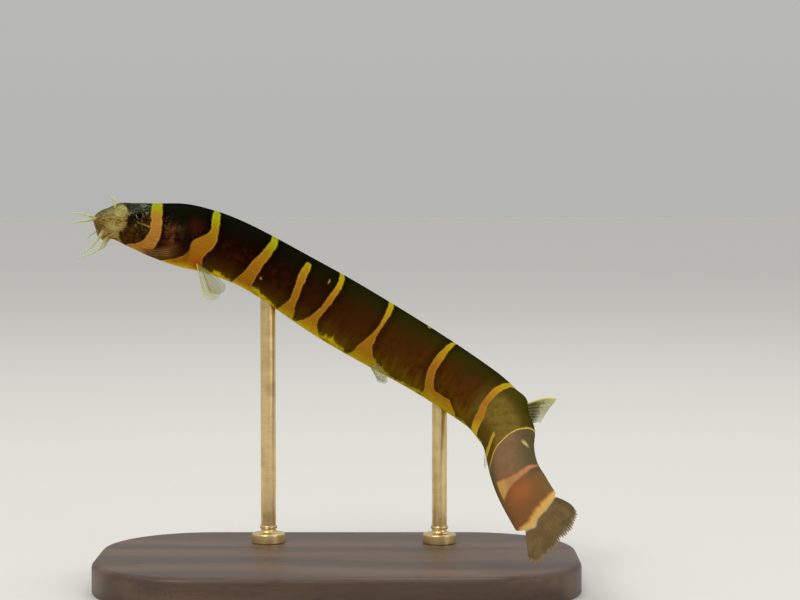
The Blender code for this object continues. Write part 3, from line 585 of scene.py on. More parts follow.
# The markings. Each band's front and rear edge is a place along the body at each of these turns;
# the right flank's bands are shifted a little. "blush" turns gold to salmon, and a band that stops
# short of the back or the belly has a top or a bottom, in degrees from the back.
bandTurns = (0.0, 45.0, 75.0, 95.0, 120.0, 145.0, 180.0)
bands = {
    "cheek": {
        "front": (7.4, 7.6, 7.85, 7.8, 7.0, 5.2, 4.6),
        "rear": (8.6, 9.05, 9.35, 9.4, 9.0, 8.1, 7.2),
        "blush": 0.75, "shift": 0.4,
    },
    "nape": {
        "front": (15.0, 15.2, 15.3, 13.8, 13.2, 10.7, 9.2),
        "rear": (15.6, 16.3, 16.65, 16.7, 15.7, 15.9, 16.8),
        "blush": 0.1, "shift": -0.8,
    },
    "shoulder": {
        "front": (22.6, 22.75, 22.35, 21.9, 21.5, 20.9, 20.4),
        "rear": (23.35, 23.8, 23.65, 23.5, 23.4, 23.5, 24.6),
        "blush": 0.1, "shift": 1.1,
    },
    "breast": {
        "front": (28.3, 28.05, 28.1, 28.4, 28.65, 28.1, 27.8),
        "rear": (28.5, 28.95, 29.25, 29.4, 29.8, 30.2, 30.6),
        "blush": 0.15, "shift": -0.6, "top": 34.0,
    },
    "belly": {
        "front": (32.5, 32.95, 32.9, 32.75, 32.25, 31.3, 30.2),
        "rear": (33.1, 33.75, 33.75, 33.6, 33.35, 34.0, 35.6),
        "blush": 0.15, "shift": 0.9,
    },
    "flank": {
        "front": (40.0, 40.3, 40.45, 40.2, 39.55, 39.2, 38.6),
        "rear": (40.75, 41.1, 40.95, 41.0, 41.4, 43.0, 44.0),
        "blush": 0.15, "shift": -1.2,
    },
    "hip": {
        "front": (50.1, 49.6, 49.25, 49.4, 50.0, 50.4, 50.2),
        "rear": (50.6, 50.5, 50.5, 50.7, 51.6, 53.2, 54.0),
        "blush": 0.2, "shift": 0.8,
    },
    "hipFoot": {
        "front": (50.6, 50.6, 50.6, 50.6, 50.6, 50.3, 50.2),
        "rear": (53.4, 53.4, 53.4, 53.4, 54.6, 56.15, 56.2),
        "blush": 0.2, "shift": 0.8, "top": 125.0,
    },
    "rump": {
        "front": (59.4, 59.6, 60.0, 60.4, 61.25, 61.4, 60.9),
        "rear": (60.2, 60.5, 61.05, 61.7, 63.3, 64.1, 64.2),
        "blush": 0.3, "shift": -0.5,
    },
    "vent": {
        "front": (67.2, 67.2, 67.2, 67.2, 67.2, 68.6, 69.3),
        "rear": (68.1, 68.1, 68.1, 68.1, 68.1, 69.7, 70.4),
        "blush": 0.3, "shift": 0.0, "top": 118.0,
    },
    "tailRoot": {
        "front": (74.3, 75.2, 76.2, 76.3, 75.8, 75.3, 75.2),
        "rear": (74.3, 76.1, 77.3, 77.6, 78.0, 78.4, 78.4),
        "blush": 0.85, "shift": 0.3, "top": 8.0, "bottom": 143.0,
    },
    "tailEnd": {
        "front": (82.4, 82.95, 83.2, 83.3, 83.55, 83.3, 83.0),
        "rear": (83.75, 84.1, 84.4, 84.6, 84.9, 85.2, 85.5),
        "blush": 0.65, "shift": 0.0,
    },
}
arcLine = {"along": (65.85, 66.65, 67.9, 69.1, 70.25, 71.7, 72.6), "halfWidth": 0.18, "redReach": 0.5}
spots = {     # place along, degrees from the back, half length, half width, and the length's lean
    "shoulder": (24.05, 113.0, 0.26, 0.24, 0.0), "breast": (31.95, 51.0, 0.36, 0.15, 80.0),
    "back": (46.3, 11.0, 0.24, 0.2, 0.0), "tail": (69.9, 46.0, 0.66, 0.36, -45.0),
}
bellyEdge = {     # where the dark saddles end above the belly's golden strip
    "along": (
        9.0, 14.0, 15.8, 16.5, 18.2, 20.5, 23.2, 25.1, 27.5, 31.0, 34.1, 36.1, 37.5, 39.0, 42.3, 44.4,
        46.6, 49.2, 52.0, 56.5, 60.0, 64.0, 70.0, 84.0,
    ),
    "side": (
        180.0, 168.0, 146.0, 155.0, 146.0, 158.0, 146.0, 144.0, 160.0, 154.0, 151.0, 141.0, 152.0,
        155.0, 140.0, 150.0, 162.0, 151.0, 170.0, 158.0, 170.0, 178.0, 190.0, 190.0,
    ),
}
snoutEdge = {     # where the pale snout meets the dark cheek and the dark crown
    "side": (0.0, 40.0, 60.0, 80.0, 98.0, 122.0, 147.0, 180.0),
    "along": (3.4, 4.1, 4.75, 4.7, 4.45, 3.8, 3.95, 4.7),
}
girth = 3.6                         # the radius at which markings are laid out
degreeLength = np.radians(girth)    # and the length of a degree round it
spotShift = 1.5                     # how much further back the right flank's spots lie
outside = -9.0                      # the gold's depth where nothing is near


# How deep inside the gold a place lies, in millimetres: for a band, the smallest of the distances
# to its edges; the whole field is the greatest of the bands' and the spots'.
def goldField(along, turn):
    side = fromBack(turn)
    rightward = np.where(np.sin(turn) < 0, np.sin(turn) ** 2, 0.0)
    field, blush = np.full(np.shape(along), outside), np.zeros(np.shape(along))
    for band in bands.values():
        shift = band["shift"] * rightward
        front, rear = (readCurve(bandTurns, band[key], side) + shift for key in ("front", "rear"))
        fromTop = (side - band.get("top", -90.0)) * degreeLength
        fromBottom = (band.get("bottom", 270.0) - side) * degreeLength
        depth = np.minimum.reduce((along - front, rear - along, fromTop, fromBottom))
        blush = np.where(depth > field, band["blush"], blush)
        field = np.maximum(field, depth)
    for place, at, length, width, lean in spots.values():
        run, climb = along - place - spotShift * rightward, (side - at) * degreeLength
        cosine, sine = np.cos(np.radians(lean)), np.sin(np.radians(lean))
        away = np.hypot((run * cosine + climb * sine) / length, (climb * cosine - run * sine) / width)
        field = np.maximum(field, width * (1.0 - away))
    return field, blush


skin = {
    "sides": 192, "snoutRings": 26, "headStep": 0.085, "headEnd": 15.0, "bodyRings": 300,
    "roughness": 0.52, "coat": 0.008, "coatRoughness": 0.2, "specular": 0.0,
    "nodes": ("head", "body_front", "body_middle", "body_rear", "tail"),
}
skinMarks = {     # the skin's attributes, and what the three numbers of each are
    "marks": ("gold", "belly", "side"), "tones": ("haze", "mauve", "snout"),
    "traits": ("blush", "arc", "nasal"), "fine": ("pleat", "pleated", "specks"),
    "face": ("lips", "mouthLine", "ridge"), "glow": ("warm", "flame", "smoke"),
    "blotch": ("pale", "chin", "eyeDark"),
}
markEdges = {     # where marks rise and fall: along the body, round it, or from a line of their own
    "haze": (57.5, 62.0), "hazeArc": (-0.3, 0.3), "mauve": (-0.2, 0.3), "snout": (-0.5, 0.5),
    "smoke": (-0.4, 0.4), "specks": (1.0, 3.0, 8.6, 9.2), "speckSide": (6.0, 24.0),
    "speckFade": (86.0, 108.0), "ridge": (5.9, 7.2), "slant": (92.0, 116.0),
}
speckLoss = 0.8     # how much of the specks is lost below the eye
slant = {     # the dark diagonal behind the eye
    "strength": 0.8, "along": 9.8, "side": 20.0, "perDegree": 0.038, "width": 1.1,
}


# Each mark is a distance in millimetres or a share; "side" is the angle as a share of 180 degrees,
# and "nasal" counts in radii of the oval. For "lie" the fish is a straight cylinder of the girth's
# radius, so that patterns run along it or round it.
def skinAttributes(along, turn):
    side = fromBack(turn)
    gold, blush = goldField(along, turn)
    arc = along - readCurve(bandTurns, arcLine["along"], side)
    pastSnout = along - readCurve(snoutEdge["side"], snoutEdge["along"], side)
    pastBands = along - readCurve(bandTurns, bands["tailEnd"]["rear"], side)
    wave, shown = pleatWave(along, side)
    specks = between(along, *markEdges["specks"]) * eased(side, *markEdges["speckSide"])
    specks = specks * (1.0 - speckLoss * eased(side, *markEdges["speckFade"]))
    specks = specks * (1.0 - patched("speckGap", along, side)) + patched("specks", along, side)
    mouthBump = mouthRelief(along, side) / mouth["lowerLip"][0]
    slanting = bell(along - slant["along"] - slant["perDegree"] * (side - slant["side"]), slant["width"])
    slanting = slant["strength"] * slanting * (1.0 - eased(side, *markEdges["slant"]))
    ridge = bell(ridgeDistance(along, side), cheek["ridgeWidth"]) * eased(along, *markEdges["ridge"])
    values = {name: patched(name, along, side) for name in ("warm", "flame", "pale", "chin")}
    values.update({
        # The throat folds' mark runs from their troughs to their crests; it sets the painted shade in the
        # troughs and the painted light on the crests.
        "gold": gold, "blush": blush, "arc": arc, "pleated": shown, "pleat": shown * (0.5 + 0.5 * wave),
        "belly": (side - readCurve(bellyEdge["along"], bellyEdge["side"], along)) * degreeLength,
        "side": side / 180.0, "nasal": np.clip(nasalRadius(along, side), 0.0, 2.0), "ridge": ridge,
        "haze": eased(along, *markEdges["haze"]) * (1.0 - eased(arc, *markEdges["hazeArc"])),
        "mauve": eased(arc, *markEdges["mauve"]), "snout": 1.0 - eased(pastSnout, *markEdges["snout"]),
        "specks": specks, "smoke": eased(pastBands, *markEdges["smoke"]),
        "lips": np.clip(mouthBump, 0.0, 1.0), "eyeDark": patched("eyeDark", along, side) + slanting,
        # The mouth mark is painted shade: dark in the groove between the lips and over the shade patch at
        # the snout's front.
        "mouthLine": np.clip(-mouthBump, 0.0, 1.0) + patched("shade", along, side),
    })
    lie = np.stack([along, girth * np.cos(turn), girth * np.sin(turn)], -1)
    stacks = {label: np.stack([values[name] for name in names], -1) for label, names in skinMarks.items()}
    return {"lie": lie, **stacks}


darkStops = (     # back to belly: green-black, maroon, brown, olive
    (0.0, (0.0022, 0.0032, 0.0009)), (0.26, (0.004, 0.0036, 0.001)), (0.42, (0.0085, 0.002, 0.0009)),
    (0.58, (0.0165, 0.0037, 0.001)), (0.72, (0.05, 0.018, 0.002)), (0.86, (0.125, 0.066, 0.0034)),
    (1.0, (0.16, 0.11, 0.006)),
)
rearStops = (     # the same on the rear half: dark olive, red-brown, brown, golden brown
    (0.0, (0.012, 0.0118, 0.0012)), (0.22, (0.026, 0.021, 0.0015)), (0.42, (0.06, 0.0205, 0.002)),
    (0.62, (0.095, 0.034, 0.0024)), (0.8, (0.175, 0.095, 0.0035)), (1.0, (0.20, 0.13, 0.006)),
)
goldStops = (     # back to belly: yellow, gold, orange-brown, olive-gold
    (0.0, (0.27, 0.31, 0.003)), (0.22, (0.30, 0.285, 0.003)), (0.36, (0.31, 0.165, 0.003)),
    (0.55, (0.32, 0.124, 0.004)), (0.78, (0.34, 0.135, 0.004)), (0.92, (0.74, 0.48, 0.006)),
)
rearGoldStops = (     # the same on the rear half: orange-gold, orange-brown, gold
    (0.0, (0.37, 0.33, 0.006)), (0.25, (0.42, 0.24, 0.004)), (0.5, (0.34, 0.117, 0.003)),
    (0.72, (0.40, 0.18, 0.004)), (0.93, (0.84, 0.64, 0.006)),
)
tints = {
    "salmon": (0.43, 0.182, 0.037), "paleEdge": (0.48, 0.36, 0.05), "olive": (0.54, 0.37, 0.005),
    "bellyGold": (0.86, 0.67, 0.012), "haze": (0.086, 0.051, 0.008), "hazeLight": (0.165, 0.113, 0.019),
    "hazeBack": (0.052, 0.044, 0.004), "mauve": (0.105, 0.078, 0.036), "mauveLight": (0.225, 0.122, 0.06),
    "russet": (0.165, 0.088, 0.032), "russetLight": (0.33, 0.105, 0.035), "red": (0.34, 0.075, 0.02),
    "tailPink": (0.41, 0.19, 0.082), "tailTan": (0.52, 0.31, 0.08), "tailPeach": (0.62, 0.37, 0.10),
    "tailStreak": (0.56, 0.46, 0.17), "ventGold": (0.42, 0.25, 0.03), "arc": (0.54, 0.44, 0.09),
    "snoutGrey": (0.095, 0.088, 0.036), "snoutPale": (0.19, 0.18, 0.066), "snoutTan": (0.36, 0.245, 0.064),
    "snoutBrown": (0.085, 0.05, 0.013), "palePatch": (0.39, 0.32, 0.11), "chin": (0.46, 0.24, 0.045),
    "nasal": (0.42, 0.37, 0.11), "speck": (0.40, 0.26, 0.06), "greySpeck": (0.22, 0.25, 0.18),
    "eyeBlack": (0.004, 0.005, 0.002), "redCheek": (0.085, 0.026, 0.007), "crown": (0.026, 0.03, 0.014),
    "coverBrown": (0.13, 0.048, 0.014), "cheek": (0.022, 0.011, 0.002), "cheekBrown": (0.075, 0.04, 0.009),
    # The throat's two fold tints: painted shade for the folds' troughs and painted light for their crests.
    "pleat": (0.12, 0.046, 0.012), "pleatCrestLight": (0.46, 0.27, 0.10), "wine": (0.045, 0.008, 0.003),
    # The near-black mouth tint is painted shade for the mouth's groove and the snout's front.
    "lip": (0.40, 0.27, 0.06), "mouthLine": (0.03, 0.016, 0.006), "flame": (0.40, 0.062, 0.004),
    "smoke": (0.118, 0.077, 0.03), "smokeLight": (0.172, 0.113, 0.042), "blueLine": (0.40, 0.38, 0.33),
    "ridge": (0.48, 0.33, 0.09),
}
heights = {     # where a tint rises, or rises and falls, from 0 on the back to 1 on the belly
    "lowFlank": (0.3, 0.5, 0.6, 0.8), "redCheek": (0.5, 0.62), "crown": (0.2, 0.34),
    "crownFade": (0.3, 0.4), "cover": (0.34, 0.46, 0.56, 0.72), "haze": (0.22, 0.42, 0.56, 0.78),
    "hazeBack": (0.14, 0.36), "mauve": (0.24, 0.5, 0.66, 0.9), "salmon": (0.2, 0.42),
    "peach": (0.58, 0.7), "throat": (0.5, 0.66), "snoutLow": (0.24, 0.52), "speck": (0.26, 0.38),
}
stretches = {     # the same in millimetres along the body
    "rear": (22.0, 52.0), "cheek": (7.6, 9.0), "cover": (8.8, 9.6, 10.8, 12.8), "russet": (76.4, 78.2),
    "rearGold": (24.0, 36.0), "lastBand": (79.0, 80.0), "streak": (72.0, 73.0), "vent": (65.0, 66.0),
    "throat": (9.0, 12.0), "redRim": (73.0, 74.0), "snout": (5.3, 6.2), "ovalFront": (2.7, 3.8),
    "ovalRim": (3.2, 4.2), "crown": (4.8, 5.8, 6.9, 7.5),
}
bandEdge = {     # millimetres inside a band's edge; on the tail gold's two ends move apart by "softer"
    "gold": (-0.09, 0.12), "softer": (0.17, 0.238), "pale": (0.0, 0.08, 0.12, 0.3),
    "shadow": (-1.3, -0.1), "red": (-0.45, -0.05),
}


# What the skin's colours read: its marks by name, the place along the body, and its noises.
def readSkin(f):
    s = SimpleNamespace(lie=f.attribute("lie"))
    for label, names in skinMarks.items():
        for name, part in zip(names, f.parts(f.attribute(label))):
            setattr(s, name, part)
    s.along = f.parts(s.lie)[0]
    s.mottle = f.noise(s.lie, 1.1, detail=5.0, rough=0.6)
    s.grain = f.noise(s.lie, 4.5)
    s.wander = f.noise(s.lie, 0.9, detail=2.0)
    s.barred = f.noise(s.lie, 1.0, detail=4.0, stretch=(1.5, 0.35, 0.35))     # streaks round the body
    s.lined = f.noise(s.lie, 1.0, stretch=(0.5, 3.0, 3.0))     # lines along the body
    s.creases = f.noise(s.lie, 1.0, detail=2.0, stretch=(0.7, 5.0, 5.0))     # fine lines of the throat
    s.fine = f.noise(s.lie, 1.4, detail=4.0, rough=0.65, stretch=(1.6, 3.2, 3.2))     # the snout's grain
    return s


# The dark ground: a level from 0 on the back to 1 on the belly, shifted by streaks round the body,
# picks it from a ramp. Over it lie the brown cheek, the green-black crown, the black round the eye
# and the mottled gill cover.
def groundColour(f, s):
    rearward = f.rise(s.along, *stretches["rear"])
    level = s.side + (s.barred - 0.5) * (0.12 + rearward * 0.5) * s.side + s.mottle.swing(0.08)
    colour = f.mix(rearward, f.ramp(level, darkStops), f.ramp(level, rearStops))
    wine = f.rise(s.mottle, 0.45, 0.72) * f.between(s.side, *heights["lowFlank"]) * 0.6 + s.warm * 0.8
    colour = f.mix(wine.clipped(), colour, tints["wine"])
    cheekColour = f.mix(f.rise(s.side, *heights["redCheek"]), tints["cheekBrown"], tints["redCheek"])
    cheekColour = f.mix(f.rise(s.mottle * 0.5 + s.barred * 0.5, 0.44, 0.62), tints["cheek"], cheekColour)
    cheekColour = f.mix(f.rise(s.side, *heights["crown"]), tints["crown"], cheekColour)
    colour = f.mix(f.fall(s.along, *stretches["cheek"]) * 0.75, colour, cheekColour)
    colour = f.mix((s.eyeDark * (0.5 + s.mottle)).clipped(), colour, tints["eyeBlack"])
    onCover = f.between(s.along, *stretches["cover"]) * f.between(s.side, *heights["cover"])
    blotched = f.rise(s.grain * 0.25 + s.mottle * 0.45 + s.barred * 0.3, 0.45, 0.58)
    return f.mix(onCover * blotched * 0.8, colour, tints["coverBrown"])


# The rear's haze, then past the arc the mauve ground with russet between the last two bands, and
# along the belly a golden strip with a ragged upper edge.
def rearColour(f, s, colour):
    cloudy = f.rise(s.wander * 0.55 + s.mottle * 0.3 + s.barred * 0.15, 0.34, 0.66)
    light = (f.between(s.side, *heights["haze"]) * (0.45 + cloudy)).clipped()
    hazeColour = f.mix(light, tints["haze"], tints["hazeLight"])
    hazeColour = f.mix(f.rise(s.side, *heights["hazeBack"]), tints["hazeBack"], hazeColour)
    colour = f.mix(s.haze * 0.92, colour, hazeColour)
    middle = (f.between(s.side, *heights["mauve"]) * (0.3 + s.wander + s.mottle.swing(0.5))).clipped()
    mauveColour = f.mix(middle, tints["mauve"], tints["mauveLight"])
    russetColour = f.mix(middle * 0.3 + s.warm * 0.7, tints["russet"], tints["russetLight"])
    mauveColour = f.mix(f.rise(s.along, *stretches["russet"]), mauveColour, russetColour)
    colour = f.mix(s.mauve * 0.96, colour, mauveColour)
    ragged = f.rise(s.belly + s.barred.swing(2.6) + s.grain.swing(0.6), -0.4, 0.3)
    strip = f.mix(f.rise(s.mottle, 0.35, 0.65), tints["olive"], tints["bellyGold"])
    return f.mix(ragged * 0.85, colour, strip)


# The bands' own colour: gold by height on the flank, blushed to salmon, pink, tan and peach on the
# tail, flame at the pectoral fin, with fine lines along the body and over the throat.
def goldColour(f, s):
    level = s.side + s.mottle.swing(0.12)
    rearward = f.rise(s.along, *stretches["rearGold"])
    colour = f.mix(rearward, f.ramp(level, goldStops), f.ramp(level, rearGoldStops))
    colour = f.mix(s.blush * f.rise(s.side, *heights["salmon"]), colour, tints["salmon"])
    lastBand = f.rise(s.along, *stretches["lastBand"])
    peach = (f.rise(s.side, *heights["peach"]) + lastBand).clipped()
    peachColour = f.mix(lastBand, tints["tailTan"], tints["tailPeach"])
    colour = f.mix(s.mauve, colour, f.mix(peach, tints["tailPink"], peachColour))
    colour = f.mix(s.mauve * f.fall(s.along, *stretches["streak"]), colour, tints["tailStreak"])
    colour = f.mix(s.haze * f.rise(s.along, *stretches["vent"]) * 0.7, colour, tints["ventGold"])
    colour = f.dimmed(f.mix(s.flame * 0.85, colour, tints["flame"]), 0.82 + s.lined * 0.34)
    onThroat = f.rise(s.side, *heights["throat"]) * f.fall(s.along, *stretches["throat"])
    return f.dimmed(colour, 1.0 + (s.creases - 0.5) * onThroat * 1.6)


# The bands over the ground, with wandering edges, a thin pale line inside them and the ground
# darker beside them; past the arc the edges are softer and redder.
def bandedColour(f, s, colour):
    depth = s.gold + s.wander.swing(0.36) + s.mottle.swing(0.2) + s.grain.swing(0.16)
    bandColour = f.mix(f.between(depth, *bandEdge["pale"]) * 0.2, goldColour(f, s), tints["paleEdge"])
    shadow = f.rise(depth, *bandEdge["shadow"]) * (1.0 - s.haze) * (1.0 - s.mauve)
    colour = f.dimmed(colour, 1.0 - shadow * 0.35)
    redRim = f.rise(depth, *bandEdge["red"]) * s.mauve * f.rise(s.along, *stretches["redRim"])
    colour = f.mix(redRim * 0.45, colour, tints["red"])
    (start, end), (earlier, later) = bandEdge["gold"], bandEdge["softer"]
    return f.mix(f.rise(depth, start - s.mauve * earlier, end + s.mauve * later), colour, bandColour)


# The thin arc across the tail's root, red in front of it, and the smoke past the last band with a
# thin bluish line where it starts.
def tailMarks(f, s, colour):
    offset = s.arc + s.wander.swing(0.25)
    redArc = f.between(offset, -arcLine["redReach"], -0.15, -0.1, 0.05)
    colour = f.mix(redArc * 0.5, colour, tints["red"])
    half = arcLine["halfWidth"]
    colour = f.mix(f.between(offset, -half, -0.3 * half, 0.3 * half, half) * 0.9, colour, tints["arc"])
    smoke = f.rise(s.smoke * (0.2 + s.wander * 1.6), 0.2, 0.8)
    smokeColour = f.mix(f.rise(s.mottle, 0.35, 0.65), tints["smoke"], tints["smokeLight"])
    colour = f.mix(smoke, colour, smokeColour)
    return f.mix(smoke * f.fall(smoke, 0.6, 1.0) * 1.4, colour, tints["blueLine"])


# The snout: grey above, tan and speckled below, with the pale nasal oval, whose front edge fades.
def snoutColour(f, s, colour):
    low = f.mix(f.rise(s.fine * 0.6 + s.mottle * 0.4, 0.42, 0.58), tints["snoutBrown"], tints["snoutTan"])
    top = f.mix(f.rise(s.fine, 0.45, 0.7), tints["snoutGrey"], tints["snoutPale"])
    lowShare = f.rise(s.side + s.mottle.swing(0.3) + s.fine.swing(0.3), *heights["snoutLow"])
    skinned = f.mix(lowShare, top, low)
    skinned = f.mix((s.chin * 0.8 + (s.fine - 0.5) * s.chin).clipped(), skinned, tints["chin"])
    skinned = f.mix((s.pale * (0.1 + s.fine * 1.5)).clipped(), skinned, tints["palePatch"])
    share = f.rise(s.snout + s.mottle.swing(1.5) + s.fine.swing(1.2), 0.22, 0.8)
    colour = f.mix(share * f.fall(s.along, *stretches["snout"]), colour, skinned)
    ovalGrain = f.rise(s.grain * 0.6 + s.mottle * 0.4, 0.36, 0.62)
    ovalColour = f.mix(ovalGrain, tints["snoutPale"], tints["nasal"])
    soft = f.fall(s.along, *stretches["ovalFront"])
    oval = f.fall(s.nasal, 0.84 - soft * 0.4, 1.0 + soft * 0.15)
    colour = f.mix(oval * 0.85, colour, ovalColour)
    rim = f.between(s.nasal, 0.76, 0.88, 0.92, 1.04) * f.rise(s.along, *stretches["ovalRim"])
    return f.mix(rim * 0.55, colour, tints["speck"])


# The rest of the face: the pleated throat, pale on the folds' crests as painted light and dark in
# their troughs as painted shade, grey blotches on the crown by the eye, gold specks, the ridge under
# the eye, the lips, and painted shade in the mouth's groove and at the snout's front.
def faceColour(f, s, colour):
    # Painted light and shade on the throat's folds: pale on the crests, dark in the troughs, following the
    # relief's wave.
    pleatLightAndShade = f.mix(f.rise(s.pleat, 0.55, 0.95), tints["pleat"], tints["pleatCrestLight"])
    colour = f.mix((s.pleated * (0.4 + s.mottle * 0.9)).clipped(), colour, pleatLightAndShade)
    onCrown = s.specks * f.fall(s.side, *heights["crownFade"]) * f.between(s.along, *stretches["crown"])
    blotched = f.rise(s.fine * 0.7 + s.mottle * 0.3, 0.47, 0.62)
    colour = f.mix(onCrown * blotched * 0.6, colour, tints["greySpeck"])
    dots = f.fall(f.cells(s.lie, 3.2), 0.12, 0.34) * f.rise(s.mottle, 0.34, 0.56)
    speckColour = f.mix(f.rise(s.side, *heights["speck"]), tints["greySpeck"], tints["speck"])
    colour = f.mix((s.specks * dots * 0.8).clipped(), colour, speckColour)
    colour = f.mix(s.ridge * 0.65, colour, tints["ridge"])
    colour = f.mix(s.lips * 0.75, colour, tints["lip"])
    # Painted shade: the mouth's groove between the lips and the snout's front darkened.
    return f.mix(s.mouthLine * 0.9, colour, tints["mouthLine"])


# The skin: the ground, the rear, the bands, the tail's marks and the face, each mixed over the one
# before; fine scales and grain are bumps.
def makeSkinFinish():
    f = Finish(
        "wetLoachSkin", Coat_Weight=skin["coat"], Coat_Roughness=skin["coatRoughness"],
        Specular_IOR_Level=skin["specular"],
    )
    s = readSkin(f)
    colour = groundColour(f, s)
    for paint in (rearColour, bandedColour, tailMarks, snoutColour, faceColour):
        colour = paint(f, s, colour)
    colour = f.dimmed(colour, 0.86 + s.grain * 0.28)
    scales = f.bump(f.cells(s.lie, 3.4, "SMOOTH_F1"), 0.18, 0.05)
    normal = f.bump(s.grain, 0.2, 0.04, scales)
    return f.dress(Base_Color=colour, Roughness=skin["roughness"] + s.mottle.swing(0.16), Normal=normal)


# The whole skin: rings crowded at the snout and over the head, lifted by the relief.
def makeSkin():
    rounding, end = body["snoutRounding"], body["fleshEnd"]
    places = np.concatenate([
        rounding * (1.0 - np.cos(np.linspace(0, np.pi / 2, skin["snoutRings"])[1:])),
        np.arange(rounding + skin["headStep"], skin["headEnd"], skin["headStep"]),
        np.linspace(skin["headEnd"], end, skin["bodyRings"]),
    ])
    along, turn = np.meshgrid(places, evenTurns(skin["sides"]), indexing="ij")
    rings = bodyPoint(along, turn, skinRelief(along, turn))
    points, faces = closedLoft(rings, onLine("centre", 0.0), onLine("centre", end))
    poles = [0.0, end], [np.pi / 2, np.pi / 2]     # the two middle points are marked as the left flank
    marks = skinAttributes(*(np.append(grid, pole) for grid, pole in zip((along, turn), poles)))
    makePiece("loachSkin", points, faces, makeSkinFinish(), skin["nodes"], marks)


makeSkin()


# The wet eye: black pupil, a thin ring that shines in places, and a dark iris with brown flecks.
# "gaze" holds the angle from the way that the eye looks (1 is square to it), then the place across.
def makeEyeFinish():
    f = Finish("wetEye", Roughness=0.15, Coat_Weight=0.03, Coat_Roughness=0.04, Specular_IOR_Level=0.02)
    gaze = f.attribute("gaze")
    out, across, up = f.parts(gaze)
    fleck = f.noise(f.place(), 5.0, detail=4.0)
    iris = f.mix(f.rise(fleck, 0.5, 0.75), eye["irisDark"], eye["irisFleck"])
    colour = f.mix(f.rise(out, *eye["pupilEdge"]), eye["pupilColour"], iris)
    broken = f.rise(f.noise(gaze, 3.2) - up * 0.2 + across * 0.06, 0.38, 0.52)
    shine = f.between(out, *eye["ring"]) * broken
    return f.dress(Base_Color=f.mix(shine, colour, eye["ringColour"]), Metallic=shine * 0.3)


# Eyeballs: spheres that pass through the skin. A point is the centre plus the radius times the
# outward way by the polar angle's cosine and the eye's own plane by its sine.
def makeEyes():
    material = makeEyeFinish()
    polarSteps = np.linspace(0, np.pi, eye["rings"] + 2)[1:-1]
    polar, around = np.meshgrid(polarSteps, evenTurns(eye["sides"]), indexing="ij")
    across, up = np.sin(polar) * np.cos(around), np.sin(polar) * np.sin(around)
    gaze = np.stack([polar / (np.pi / 2), across, up], -1).reshape(-1, 3)
    marks = {"gaze": np.vstack([gaze, [0, 0, 0], [2, 0, 0]])}
    forward, upward = -onLine("tailward", eye["along"]), onLine("up", eye["along"])
    for way, label in ((1, "left"), (-1, "right")):
        centre, outward = eyeCentre(way), onLine("left", eye["along"]) * way
        ways = outward * np.cos(polar)[..., None] + forward * across[..., None] + upward * up[..., None]
        rings, pole = centre + eye["radius"] * ways, eye["radius"] * outward
        points, faces = closedLoft(rings, centre + pole, centre - pole)
        makePiece("loachEye_" + label, points, faces, material, ["eye_" + label], marks)


makeEyes()


# Barbels: root place (along, turn), root radius, and a route of (forward, up, outward) places from
# the snout's tip.
barbel = {
    "sunk": 0.5, "flare": 0.3, "flareReach": 0.5, "tipShare": 0.28, "taperPower": 0.9, "tipRound": 0.5,
    "smallestShare": 0.02, "level": (0.12, 0.97, 0.2), "rings": 90, "sides": 20,
    "stops": (
        (0.0, (0.24, 0.165, 0.05)), (0.16, (0.36, 0.30, 0.10)), (0.4, (0.46, 0.48, 0.22)),
        (1.0, (0.52, 0.64, 0.34)),
    ),
}
barbels = {
    "rostral_left": (0.3, 78.0, 0.24, ((0.75, -0.12, 0.8), (1.6, -0.22, 1.1), (2.75, -0.5, 1.6))),
    "rostral_right": (0.3, 72.0, 0.24, ((0.75, 0.5, 0.8), (1.6, 0.78, 1.1), (3.0, 0.9, 1.7))),
    "lip_left": (1.6, 130.0, 0.26, ((-0.7, -2.65, 1.75), (0.1, -3.6, 2.0), (1.6, -4.5, 2.3))),
    "lip_right": (1.4, 124.0, 0.25, ((-0.45, -1.5, 1.75), (0.35, -1.85, 2.1), (1.25, -2.6, 2.4))),
    "jaw_left": (
        2.35, 154.0, 0.25,
        ((-1.45, -3.05, 1.75), (-0.95, -3.85, 2.1), (0.25, -4.5, 2.3), (1.6, -4.85, 2.5)),
    ),
    "jaw_right": (2.35, 154.0, 0.23, ((-1.55, -2.95, 1.75), (-0.9, -3.8, 2.1), (0.75, -4.5, 2.5))),
    "nasal_left": (2.75, 30.0, 0.22, ((-2.7, 2.6, 1.1), (-2.5, 3.2, 1.2))),
    "nasal_right": (2.75, 30.0, 0.22, ((-2.7, 2.55, 1.15), (-2.46, 3.1, 1.3))),
}
fleshLight = (0.0006, 0.0005, 0.0003)     # the subsurface radii of barbels and fins


def makeBarbelFinish():
    f = Finish(
        "paleBarbel", Subsurface_Weight=0.3, Subsurface_Radius=fleshLight, Coat_Weight=0.15,
        Coat_Roughness=0.15, Specular_IOR_Level=0.3,
    )
    grain = f.noise(f.place(), 3.5, detail=4.0)
    down = f.parts(f.attribute("reach"))[0]
    colour = f.dimmed(f.ramp(down + grain.swing(0.06), barbel["stops"]), 0.8 + grain * 0.4)
    return f.dress(Base_Color=colour, Roughness=0.36 + grain * 0.2, Normal=f.bump(grain, 0.3, 0.03))


